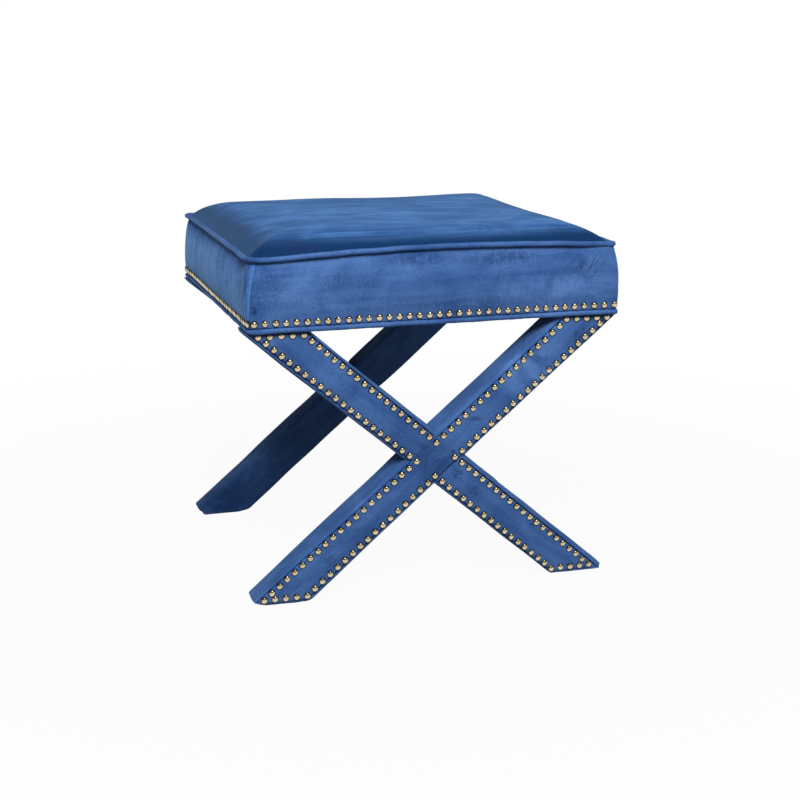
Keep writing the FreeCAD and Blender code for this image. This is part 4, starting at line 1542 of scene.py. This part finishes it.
@dataclass(frozen=True)
class LegLine:
    """The line of one arm. Places are given across it, towards its upper edge, and by height."""

    foot: float = 3.0 * MM
    top: float = 371.5 * MM
    centre: float = 216.0 * MM
    half_width: float = 27.5 * MM
    depth: float = 44.0 * MM
    front: float = 220.6 * MM
    tip_radius: float = 4.2 * MM
    heel_radius: float = 12.0 * MM

    @property
    def angle(self) -> float:
        """Gives the arm's slope."""
        return math.atan2(self.top - self.foot, 2.0 * self.centre)

    @property
    def crossing(self) -> float:
        """Gives the height at which the arms cross."""
        return (self.top + self.foot) / 2.0

    def x_at(self, across: Array, height: Array) -> Array:
        """Gives x on the rising arm of the front frame."""
        return ((height - self.crossing) * math.cos(self.angle) - across) / math.sin(self.angle)

    def along(self, across: Array, height: Array) -> Array:
        """Gives the distance along the arm from the crossing."""
        return (height - self.crossing - across * math.cos(self.angle)) / math.sin(self.angle)

    def height_at(self, along: Array, across: Array) -> Array:
        """Gives the height at a place along and across the arm."""
        return self.crossing + along * math.sin(self.angle) + across * math.cos(self.angle)

    def across_other(self, across: Array, height: Array) -> Array:
        """Gives the place across the other arm."""
        return 2.0 * (height - self.crossing) * math.cos(self.angle) - across

    def height_other(self, across: Array, other: Array) -> Array:
        """Gives the height at which the arm meets a line across the other arm."""
        return self.crossing + (other + across) / (2.0 * math.cos(self.angle))

    def rounded_end(self, across: Array, half_width: float | Array, tip: float | Array,
                    heel: float | Array) -> Array:
        """Gives how far the foot rises above the floor line where its pointed tip and its heel are rounded.

        Args:
            across: Places across the arm.
            half_width: Half width of the outline.
            tip: Radius of the tip, on the arm's upper edge.
            heel: Radius of the heel, on its lower edge.

        Returns:
            The rise at each place.
        """
        sine = math.sin(self.angle)
        cosine = math.cos(self.angle)
        rise = np.zeros_like(across)
        for radius, sign in ((tip, 1.0), (heel, -1.0)):
            middle = sign * (half_width - radius)
            local = np.clip(across - middle, -radius, radius)
            arc = radius - sine * np.sqrt(np.maximum(radius ** 2 - local ** 2, 0.0)) + cosine * local
            beyond = local > -radius * cosine if sign > 0 else local < -radius * cosine
            rise = np.where(beyond, arc, rise)
        return rise


@dataclass(frozen=True)
class NailRows:
    """Distances of an arm's two rows of nails from its middle line, at its foot, the crossing and its top."""

    upper: tuple[float, float, float]
    lower: tuple[float, float, float]
    reach: float = 275.0 * MM

    def apart(self, along: Array, above: Array | bool) -> Array:
        """Gives the distance of the upper or the lower row at places along the arm."""
        places = (-self.reach, 0.0, self.reach)
        return np.where(above, np.interp(along, places, self.upper), np.interp(along, places, self.lower))


RISING_ROWS = NailRows((20.6 * MM, 15.5 * MM, 16.7 * MM), (17.6 * MM, 18.4 * MM, 21.6 * MM))
FALLING_ROWS = NailRows((15.8 * MM, 17.2 * MM, 20.3 * MM), (21.2 * MM, 18.9 * MM, 18.7 * MM))


@dataclass
class LegFrame:
    """One crossed-leg frame: two arms wrapped in velvet, with nailed-on face panels."""

    place: Place
    finishes: Finishes
    driver: NailDriver
    line: LegLine = field(default_factory=LegLine)
    edge_radius: float = 4.5 * MM
    recess_half: float = 23.1 * MM
    recess_depth: float = 3.2 * MM
    face_half: float = 22.1 * MM
    face_margin: float = 4.7 * MM
    groove: float = 0.9 * MM
    face_proud: float = 0.6 * MM
    face_puff: float = 0.8 * MM
    face_foot: float = 4.2 * MM
    face_top: float = 371.6 * MM
    face_thickness: float = 1.0 * MM
    turn_in: float = 2.3 * MM
    flush: float = 1.7 * MM
    meeting: float = 25.0 * MM
    nail_foot: float = 11.4 * MM
    nail_top: float = 366.9 * MM
    nail_pitch: float = 13.5 * MM
    row_pitch: float = 2.6 * MM
    hem_height: float = 1.2 * MM
    hem_wave: float = 0.6 * MM
    hem_round: float = 1.8 * MM
    top_height: float = 371.9 * MM
    tuck_up: float = 1.6 * MM
    face_tip: float = 4.0 * MM
    top_reach: float = 258.2 * MM
    top_slope: float = 1.4 * MM
    tip_softness: float = 0.34
    least_hem: float = 0.3 * MM
    side_puff: float = 0.5 * MM
    lip_gap: float = 0.4 * MM
    pinch: float = 0.22 * MM
    uneven: float = 0.45 * MM
    tuck_reach: float = 7.0 * MM
    tuck_share: float = 0.05
    face_columns: int = 34
    seam_gap: float = 0.25 * MM
    seam_lap: float = 0.9 * MM
    nail_pull: float = 0.55 * MM
    nail_pull_reach: float = 3.4 * MM
    nail_sink: float = 0.2 * MM
    ripple: float = 0.28 * MM
    gather: float = 0.75 * MM
    gather_reach: float = 30.0 * MM
    edge_turn: float = 2.4 * MM
    puff_rise: float = 16.0 * MM

    def placed(self, arm: Arm, across: Array, height: Array, depth: Array) -> Array:
        """Puts places on an arm into the bench's own directions.

        Args:
            arm: Which arm.
            across: Places across the arm.
            height: Their heights.
            depth: Their depths behind the frame's outer face.

        Returns:
            The points.
        """
        x = self.line.x_at(across, height) * arm.value * self.place.value
        y = (depth - self.line.front) * self.place.value
        return np.stack(np.broadcast_arrays(x, y, height), axis=-1)

    def rows(self, arm: Arm) -> NailRows:
        """Gives the rows of nails of an arm."""
        return RISING_ROWS if arm is Arm.RISING else FALLING_ROWS

    def face_edge(self, arm: Arm, along: Array, above: Array | bool) -> Array:
        """Gives the distance of a face panel's upper or lower edge from the arm's middle line."""
        return self.rows(arm).apart(along, above) + self.face_margin

    def within(self, arm: Arm, across: Array, margin: float, soft: float) -> Array:
        """Finds what lies between the edges of an arm's panel at the crossing.

        Args:
            arm: Which arm.
            across: Places across it.
            margin: Distance added outside the edges.
            soft: Distance over which the answer changes.

        Returns:
            1 between the edges and 0 outside them.
        """
        upper = float(self.face_edge(arm, 0.0, True)) + margin
        lower = float(self.face_edge(arm, 0.0, False)) + margin
        return ease(-lower - soft, soft - lower, across) * (1.0 - ease(upper - soft, upper + soft, across))

    def names(self, arm: Arm) -> str:
        """Gives the name of an arm's leg, after the place of its foot."""
        left = (arm is Arm.RISING) == (self.place is Place.FRONT)
        return self.place.name.lower() + ("_left_leg" if left else "_right_leg")

    def section(self) -> tuple[Array, Array]:
        """Lays out the arm's section.

        Returns:
            Places across and depths, in order round it from the recess.
        """
        half = self.line.half_width
        radius = self.edge_radius
        turn = np.linspace(0.0, math.pi / 2.0, 7)
        side = np.linspace(radius, self.line.depth - radius, 12)[1:-1]
        right = (
            (self.recess_half * np.array((0.0, 0.5, 0.9, 1.0)), np.full(4, self.recess_depth)),
            ((self.recess_half + 0.03 * MM, self.recess_half + 0.08 * MM), (1.5 * MM, 0.4 * MM)),
            (half - radius + radius * np.sin(turn), radius - radius * np.cos(turn)),
            (half + self.side_puff * np.sin(math.pi * side / self.line.depth), side),
            (half - radius + radius * np.cos(turn), self.line.depth - radius + radius * np.sin(turn)),
            (np.linspace(half - radius, 0.0, 6)[1:], np.full(5, self.line.depth)),
        )
        across, depth = (np.concatenate(part) for part in zip(*right))
        across = np.concatenate((across, -across[-2:0:-1]))
        return across, np.concatenate((depth, depth[-2:0:-1]))

    def nails(self, arm: Arm, with_corners: bool) -> Array:
        """Gives the nails of one arm as places along it and across it.

        Args:
            arm: Which arm.
            with_corners: True where the nails at the crossing's corners are included.

        Returns:
            One row for each nail.
        """
        mine = self.rows(arm)
        crossed = self.rows(arm.other)
        pairs = []
        for number, height, sign in ((0, self.nail_foot, -1.0), (2, self.nail_top, 1.0)):
            ends = []
            rows = ((mine.upper[number], mine.upper[1]), (-mine.lower[number], -mine.lower[1]))
            for across, middle in rows:
                end = np.array((self.line.along(across, height), across))
                other = crossed.upper[1] if sign > 0.0 else -crossed.lower[1]
                corner_height = self.line.height_other(middle, other)
                corner = np.array((self.line.along(middle, corner_height), middle))
                gaps = round(float(np.linalg.norm(corner - end)) / self.nail_pitch)
                row = np.linspace(end, corner, gaps + 1)
                pairs.append(row if with_corners else row[:-1])
                ends.append(end)
            gaps = round(float(np.linalg.norm(ends[1] - ends[0])) / self.nail_pitch)
            pairs.append(np.linspace(ends[0], ends[1], gaps + 1)[1:-1])
        return np.concatenate(pairs)

    def stretches(self, arm: Arm) -> list[Stretch]:
        """Lists the stretches of an arm."""
        halves = [Stretch(arm, at_upper=True), Stretch(arm, at_lower=True)]
        return [Stretch(arm)] if arm is Arm.RISING else halves

    def cover(self, arm: Arm) -> None:
        """Builds and dresses the velvet wrap of one arm, with its wadding inside.

        Args:
            arm: Which arm.
        """
        across, depth = self.section()
        middle = self.line.depth / 2.0
        points = []
        faces = []
        alongs = []
        rounds = []
        girth = np.concatenate(([0.0], np.cumsum(np.hypot(np.diff(across), np.diff(depth)))))
        start = 0
        for stretch in self.stretches(arm):
            low, high = self.ends(stretch, across, depth)
            height, inset = self.levels(stretch, low, high)
            wide, deep = self.shaped(stretch, across, depth, height)
            wide = wide * (1.0 - inset / self.line.half_width)[:, None]
            deep = middle + (deep - middle) * (1.0 - inset / middle)[:, None]
            rows = self.placed(arm, wide, height, deep)
            total = rows.shape[0]
            faces += grid_faces(total, len(across), wraps=True, start=start)
            faces += self.end_faces(start, len(across), turned=True)
            faces += self.end_faces(start + (total - 1) * len(across), len(across), turned=False)
            points.append(rows.reshape(-1, 3))
            alongs.append(self.line.along(wide, height).ravel())
            rounds.append(np.broadcast_to(girth, (total, len(across))).ravel())
            start += total * len(across)
        name = self.names(arm)
        obj = new_object(name + "_cover", np.concatenate(points), faces)
        face_away(obj, Vector((0.0, -self.line.front * self.place.value, self.line.crossing)))
        store_across(obj, np.concatenate(alongs), np.concatenate(rounds))
        add_subdivision(obj, 1)
        dress(obj, self.finishes.along, (name + "_wrap", name + "_pad"))

    @staticmethod
    def end_faces(start: int, count: int, turned: bool) -> list[Face]:
        """Closes one end of a cover with faces between the two halves of its section.

        Args:
            start: Number of the end row's first point.
            count: Number of points in a row.
            turned: True where the faces look down.

        Returns:
            The faces.
        """
        faces = []
        for index in range(count // 2):
            corners = (index, index + 1, count - index - 1, (count - index) % count)
            face = tuple(start + number for number in dict.fromkeys(corners))
            faces.append(tuple(reversed(face)) if turned else face)
        return faces

    def ends(self, stretch: Stretch, across: Array, depth: Array) -> tuple[Array, Array]:
        """Gives the heights between which a stretch of the cover runs, at each point of its section.

        Args:
            stretch: Which stretch.
            across: Section's places across.
            depth: Section's depths.

        Returns:
            The lower and the upper heights.
        """
        arm = stretch.arm
        half = self.line.half_width
        held = np.clip(across, -half, half)
        foot_along = self.line.along(held, self.line.foot)
        top_along = self.line.along(held, self.line.top)
        at_foot = np.clip(self.recessed(arm, held, depth, foot_along), -half, half)
        at_top = np.clip(self.recessed(arm, held, depth, top_along), -half, half)
        at_edge = np.minimum(depth, self.line.depth - depth) < self.edge_radius
        foot_inset = np.where(at_edge, np.minimum(half - np.abs(at_foot), self.edge_radius), 0.0)
        seed = 90 + 10 * self.place.value + arm.value
        if stretch.at_lower:
            low = self.line.height_other(held, self.meeting)
        else:
            tip = self.line.tip_radius - self.tip_softness * foot_inset
            low = self.line.rounded_end(at_foot, half - foot_inset, tip, self.line.heel_radius - foot_inset)
            share = 0.5 - at_foot / (2.0 * half)
            wave = Wander(seed, 0.25 * self.hem_wave, 1, 3).along(share)
            hem = self.hem_height + wave - self.hem_wave * np.cos(TURN * share)
            low = low + np.maximum(hem, self.least_hem)
        if stretch.at_upper:
            high = self.line.height_other(held, -self.meeting)
        else:
            limit = self.top_reach - self.top_slope * depth / self.line.depth
            angle = self.line.angle
            cut = self.line.crossing + (limit * math.sin(angle) + at_top) / math.cos(angle)
            high = np.minimum(self.top_height + self.tuck_up * ease(0.5 * half, half, -at_top), cut)
        return low, high

    def shaped(self, stretch: Stretch, across: Array, depth: Array, height: Array) -> tuple[Array, Array]:
        """Gives the section at every height: opened at the crossing, pulled in at nails and softly uneven.

        Args:
            stretch: Which stretch.
            across: Section's places across.
            depth: Section's depths.
            height: Height of every point, row by row.

        Returns:
            Places across and depths of every point.
        """
        arm = stretch.arm
        wide = np.broadcast_to(across, height.shape).copy()
        deep = np.broadcast_to(depth, height.shape).copy()
        along = self.line.along(wide, height)
        lip = (deep < self.edge_radius) & (np.abs(wide) > self.recess_half - 0.1 * MM)
        wide = self.recessed(arm, wide, deep, along)
        other = self.line.across_other(wide, height)
        opened = self.within(arm.other, other, self.groove, 0.6 * MM)
        deep = np.where(lip, np.maximum(deep, self.recess_depth * opened), deep)
        pinch = np.cos(TURN * along / self.nail_pitch) * self.pinch
        deep = np.where(lip & (deep < 1.0 * MM), deep + pinch, deep)
        seed = 100 + 10 * self.place.value + arm.value
        uneven = Ripples(seed, self.uneven, 30.0 * MM, 110.0 * MM, stretch=2.2)
        edge = ease(self.recess_half, self.line.half_width, np.abs(wide)) * np.sign(wide)
        wide = wide + edge * uneven.over(along, deep)
        if stretch.at_lower or stretch.at_upper:
            gap = np.abs(other) - self.meeting
            tuck = 1.0 - ease(0.0, self.tuck_reach, gap)
            wide = wide * (1.0 - self.tuck_share * tuck)
            middle = self.line.depth / 2.0
            deep = middle + (deep - middle) * (1.0 - self.tuck_share * tuck)
        return wide, deep

    def recessed(self, arm: Arm, wide: Array, deep: Array, along: Array) -> Array:
        """Moves the recess in the front of the section so that its edges follow the face panel's.

        Args:
            arm: Which arm.
            wide: Places across of the section with an even recess.
            deep: Depths of the section.
            along: Places along the arm.

        Returns:
            Places across with the recess where the panel lies.
        """
        half = self.line.half_width
        size = np.abs(wide)
        edge = np.minimum(self.face_edge(arm, along, wide > 0.0) + self.groove, half - self.lip_gap)
        inner = size / self.recess_half * edge
        outer = edge + (size - self.recess_half) / (half - self.recess_half) * (half - edge)
        moved = np.sign(wide) * np.where(size <= self.recess_half, inner, outer)
        return np.where(deep < self.edge_radius - 0.01 * MM, moved, wide)

    def levels(self, stretch: Stretch, low: Array, high: Array) -> tuple[Array, Array]:
        """Gives the heights of a stretch's rows and how far each row is drawn in to round the hem.

        Args:
            stretch: Which stretch.
            low: Lower end at each place across.
            high: Upper end at each place across.

        Returns:
            The heights, row by row, and the inset of each row.
        """
        curve = np.linspace(0.0, math.pi / 2.0, 6)
        rises = self.hem_round * (1.0 - np.cos(curve))[:, None]
        count = max(8, round(float(np.mean(high - low)) / self.row_pitch))
        share = np.linspace(0.0, 1.0, count)[1:-1, None]
        inner_low = low + self.hem_round
        inner = inner_low + share * (high - self.hem_round - inner_low)
        rows = np.concatenate((low + rises, inner, high - rises[::-1]))
        inset = np.zeros(len(rows))
        if not stretch.at_lower:
            inset[:len(curve)] = self.hem_round * (1.0 - np.sin(curve))
        return rows, inset

    def face(self, arm: Arm) -> None:
        """Builds and dresses the face panel of one arm.

        Args:
            arm: Which arm.
        """
        even = crowded(self.face_half, self.face_columns, 0.55)
        points = []
        faces = []
        alongs = []
        start = 0
        area = 0.0
        for stretch in self.stretches(arm):
            low, high = self.face_ends(stretch, even)
            count = round(float(np.mean(high - low)) / self.row_pitch)
            share = (crowded(1.0, count, 0.25)[:, None] + 1.0) / 2.0
            height = low + share * (high - low)
            wide = self.spread(arm, even, height)
            along = self.line.along(wide, height)
            depth = self.face_depth(arm, wide, height, along, low, high)
            rows = self.placed(arm, wide, height, depth)
            faces += grid_faces(count, len(even), start=start)
            points.append(rows.reshape(-1, 3))
            alongs.append(np.stack((along, wide), axis=-1).reshape(-1, 2))
            start += count * len(even)
            area += 2.0 * self.face_half * float(np.mean(high - low)) / math.sin(self.line.angle)
        name = self.names(arm)
        obj = new_object(name + "_face", np.concatenate(points), faces)
        face_away(obj, Vector((0.0, 0.0, self.line.crossing)))
        lay = np.concatenate(alongs)
        store_across(obj, lay[:, 0], lay[:, 1])
        add_thickness(obj, self.face_thickness)
        add_subdivision(obj, 1)
        dress(obj, self.finishes.along, (name + "_panel",))
        name + "_cover"

    def spread(self, arm: Arm, even: Array, height: Array) -> Array:
        """Spreads even places across a face panel between its leaning edges."""
        edge = self.face_edge(arm, self.line.along(even, height), even > 0.0)
        return even / self.face_half * edge

    def seam(self, arm: Arm, even: Array, above: bool) -> Array:
        """Gives the heights at which a face panel meets the edge of the panel that crosses it.

        Args:
            arm: Which arm.
            even: Even places across the panel.
            above: True for the upper edge of the other panel.

        Returns:
            The height at each place.
        """
        sign = 1.0 if above else -1.0
        gap = self.seam_gap
        edge = float(self.face_edge(arm.other, 0.0, above)) + gap
        height = self.line.height_other(even, sign * edge)
        across = self.spread(arm, even, height)
        other_along = across / math.sin(2.0 * self.line.angle)
        edge = self.face_edge(arm.other, other_along, above) + gap
        return self.line.height_other(across, sign * edge)

    def face_ends(self, stretch: Stretch, even: Array) -> tuple[Array, Array]:
        """Gives the heights between which a stretch of the face panel runs.

        Args:
            stretch: Which stretch.
            even: Even places across the panel.

        Returns:
            The lower and the upper heights.
        """
        half = self.face_half
        if stretch.at_lower:
            low = self.seam(stretch.arm, even, True) - self.seam_lap
        else:
            heel = self.line.heel_radius - 5.0 * MM
            low = self.face_foot + self.line.rounded_end(even, half, self.face_tip, heel)
        if stretch.at_upper:
            high = self.seam(stretch.arm, even, False)
        else:
            high = self.face_top - self.line.rounded_end(-even, half, 0.4 * self.face_tip, 1.0 * MM)
        return low, high

    def face_depth(self, arm: Arm, across: Array, height: Array, along: Array,
                   low: Array, high: Array) -> Array:
        """Shapes a face panel: puffed between its nails, pulled in at them and turned in at its edges.

        Args:
            arm: Which arm.
            across: Places across.
            height: Heights.
            along: Places along.
            low: Lower end at each place across.
            high: Upper end at each place across.

        Returns:
            The depth behind the frame's outer face.
        """
        sine = math.sin(self.line.angle)
        edge = self.face_edge(arm, along, across > 0.0)
        to_side = edge - np.abs(across)
        flush = np.where(along > 0.0, self.flush, 0.0) if arm is Arm.FALLING else 0.0
        to_ends = np.minimum((height - low) * sine + flush, (high - height) * sine)
        other = self.line.across_other(across, height)
        crossed = self.within(arm.other, other, 0.0, 1.2 * MM)
        seed = 120 + 10 * self.place.value + arm.value
        soft = Ripples(seed, self.ripple, 18.0 * MM, 60.0 * MM, stretch=3.0).over(along, across)
        if arm is Arm.RISING:
            to_side = to_side + crossed * np.where(across > 0.0, self.flush, 0.4 * MM)
        else:
            gathers = Ripples(seed + 50, self.gather, 9.0 * MM, 22.0 * MM, stretch=3.0).over(along, across)
            soft = soft + gathers * np.exp(-np.abs(along) / self.gather_reach)
        turned = 1.0 - ease(0.0, self.edge_turn, np.minimum(to_side, to_ends))
        puff = np.clip(1.0 - (across / (edge - self.face_margin)) ** 2, 0.0, 1.0)
        puff = puff * ease(0.0, self.puff_rise, to_ends)
        dimple = np.zeros_like(across)
        for nail_along, nail_across in self.nails(arm, with_corners=True):
            square = (along - nail_along) ** 2 + (across - nail_across) ** 2
            dimple = np.maximum(dimple, np.exp(-square / (2.0 * self.nail_pull_reach ** 2)))
        proud = self.face_proud + self.face_puff * puff + soft * ease(0.0, 6.0 * MM, to_side)
        return self.turn_in * turned + self.nail_pull * dimple - proud * (1.0 - turned)

    def nail_set(self) -> None:
        """Drives the nails of both arms."""
        sets = []
        for arm in Arm:
            nails = self.nails(arm, with_corners=arm is Arm.RISING)
            height = self.line.height_at(nails[:, 0], nails[:, 1])
            depth = np.full_like(height, self.nail_sink - self.face_proud)
            sets.append(self.placed(arm, nails[:, 1], height, depth))
        points = np.concatenate(sets)
        facing = np.broadcast_to(np.array((0.0, -float(self.place.value), 0.0)), points.shape)
        name = self.place.name.lower() + "_leg_nail"
        obj = self.driver.drive(name + "_set", points, facing, 150 + self.place.value, self.finishes.brass)
        dress(obj, self.finishes.brass, (name + "s",))

    def build(self) -> None:
        """Builds the covers, face panels and nails of the frame."""
        for arm in Arm:
            self.cover(arm)
            self.face(arm)
        self.nail_set()


# What is kept from the CAD model

@dataclass
class HiddenWork:
    """The woodwork, fixings and glides, which keep their CAD shapes."""

    finishes: Finishes
    hardwood: tuple[str, ...] = (
        "seat_front_rail", "seat_back_rail", "seat_left_rail", "seat_right_rail", "seat_centre_batten",
        "corner_blocks", "rail_dowels", "front_left_leg_core", "front_right_leg_core",
        "back_left_leg_core", "back_right_leg_core",
    )
    plywood: tuple[str, ...] = ("seat_deck",)
    steel: tuple[str, ...] = (
        "deck_screws", "dust_cover_staples", "leg_bolts", "leg_washers", "leg_inserts", "lap_screws",
    )
    plastic: tuple[str, ...] = ("glides",)

    def dress(self) -> None:
        """Gives the kept nodes their finishes."""
        for finish in ("hardwood", "plywood", "steel", "plastic"):
            material = getattr(self.finishes, finish)
            for name in getattr(self, finish):
                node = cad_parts[name]
                node.data.materials.clear()
                node.data.materials.append(material)
                log.info("%s: kept, in %s", name, material.name)


# The studio

@dataclass(frozen=True)
class Lamp:
    """One soft square lamp."""

    name: str
    place: tuple[float, float, float]
    aim: tuple[float, float, float]
    size: float
    power: float
    mirrored: bool

    def hang(self) -> None:
        """Puts the lamp into the scene."""
        light = bpy.data.lights.new(self.name, "AREA")
        light.shape = "SQUARE"
        light.size = self.size
        light.energy = self.power
        obj = bpy.data.objects.new(self.name, light)
        obj.location = self.place
        obj.visible_glossy = self.mirrored
        way = Vector(self.aim) - Vector(self.place)
        obj.rotation_euler = way.to_track_quat("-Z", "Y").to_euler()
        bpy.context.collection.objects.link(obj)


@dataclass
class Studio:
    """A pale floor, soft lamps and the camera at the photograph's viewing angle."""

    focal_pixels: float = 1508.6
    picture_pixels: float = 800.0
    sensor: float = 36.0
    azimuth: float = math.radians(-17.68)
    elevation: float = math.radians(14.47)
    roll: float = math.radians(0.27)
    distance: float = 2.222
    target_right: float = 19.1 * MM
    target_height: float = 213.4 * MM
    floor_half: float = 12.0
    ambient: float = 0.12
    ceiling: float = 0.93
    ceiling_limits: Limits = (0.0, 0.24)
    shadow_share: float = 0.045
    shadow_limits: Limits = (0.375, 1.5)
    white: Colour = (1.0, 1.0, 1.0, 1.0)
    floor_paint: Colour = (0.32, 0.32, 0.33, 1.0)
    lamps: tuple[Lamp, ...] = (
        Lamp("key", (-0.8, -2.5, 2.9), (0.0, 0.0, 0.3), 1.5, 150.0, False),
        Lamp("top", (0.62, -1.70, 2.3), (0.0, 0.0, 0.4), 0.7, 18.0, True),
    )

    def set_camera(self) -> None:
        """Places the camera."""
        back = Vector((math.sin(self.azimuth) * math.cos(self.elevation),
                       -math.cos(self.azimuth) * math.cos(self.elevation),
                       math.sin(self.elevation)))
        right = Vector((math.cos(self.azimuth), math.sin(self.azimuth), 0.0))
        up = back.cross(right)
        right_rolled = right * math.cos(self.roll) + up * math.sin(self.roll)
        up_rolled = up * math.cos(self.roll) - right * math.sin(self.roll)
        eye = right * self.target_right + Vector((0.0, 0.0, self.target_height)) + back * self.distance
        data = bpy.data.cameras.new("photograph")
        data.sensor_width = self.sensor
        data.sensor_fit = "HORIZONTAL"
        data.lens = self.sensor * self.focal_pixels / self.picture_pixels
        camera = bpy.data.objects.new("photograph", data)
        turn = Matrix((right_rolled, up_rolled, back)).transposed()
        camera.matrix_world = Matrix.Translation(eye) @ turn.to_4x4()
        bpy.context.collection.objects.link(camera)
        bpy.context.scene.camera = camera

    def set_world(self) -> None:
        """Makes the surroundings white to the camera and level reflections, dim as a light and overhead."""
        world = bpy.data.worlds.new("studio")
        world.use_nodes = True
        recipe = Recipe(world.node_tree)
        path = recipe.add("ShaderNodeLightPath")
        way = recipe.add("ShaderNodeTexCoord").pick("Generated")
        height = recipe.add("ShaderNodeSeparateXYZ", None, {0: way}).pick("Z")
        overhead = height.between(*self.ceiling_limits)
        mirrored = path.pick("Is Glossy Ray") * (1.0 - overhead * self.ceiling)
        seen = path.pick("Is Camera Ray").highest(mirrored)
        seen = seen.highest(path.pick("Is Transmission Ray"))
        strength = seen * (1.0 - self.ambient) + self.ambient
        background = recipe.add("ShaderNodeBackground", None, {"Color": self.white, "Strength": strength})
        recipe.add("ShaderNodeOutputWorld", None, {"Surface": background})
        bpy.context.scene.world = world

    def lay_floor(self) -> None:
        """Lays a pale floor that keeps a soft shadow near the bench."""
        half = self.floor_half
        corners = np.array(((-half, -half, 0.0), (half, -half, 0.0), (half, half, 0.0), (-half, half, 0.0)))
        floor = new_object("floor", corners, [(0, 1, 2, 3)])
        recipe = MaterialRecipe("pale floor")
        path = recipe.add("ShaderNodeLightPath")
        settings = {"operation": "LENGTH"}
        distance = recipe.add("ShaderNodeVectorMath", settings, {0: recipe.place}).pick("Value")
        near = 1.0 - distance.between(*self.shadow_limits)
        paint = recipe.add("ShaderNodeBsdfDiffuse", None, {"Color": self.floor_paint})
        glow = recipe.add("ShaderNodeEmission", None, {"Color": self.white, "Strength": 1.0})
        seen = path.pick("Is Camera Ray").highest(path.pick("Is Glossy Ray"))
        bright = seen * (1.0 - near * self.shadow_share)
        mixed = recipe.add("ShaderNodeMixShader", None, {0: bright, 1: paint, 2: glow})
        recipe.show(mixed)
        floor.data.materials.append(recipe.material)

    def build(self) -> None:
        """Sets up the whole studio."""
        bpy.context.scene.view_settings.view_transform = "Standard"
        self.set_camera()
        self.set_world()
        self.lay_floor()
        for lamp in self.lamps:
            lamp.hang()
        log.info("studio: camera, floor and %d lamps", len(self.lamps))


def main() -> None:
    """Builds and dresses the bench, piece by piece."""
    finishes = Finishes()
    plan = SeatPlan()
    line = PipingLine()
    driver = NailDriver()
    HiddenWork(finishes).dress()
    Cushion(plan, line, finishes).build()
    boxing = Boxing(plan, line, finishes, driver)
    for side in Side:
        boxing.build(side)
        boxing.nail_row(side)
    Rolls(plan, line, finishes, CordRoller()).build()
    DustSheet(plan, finishes).build()
    for place in Place:
        LegFrame(place, finishes, driver).build()
    Studio().build()


if __name__ == "__main__":
    main()
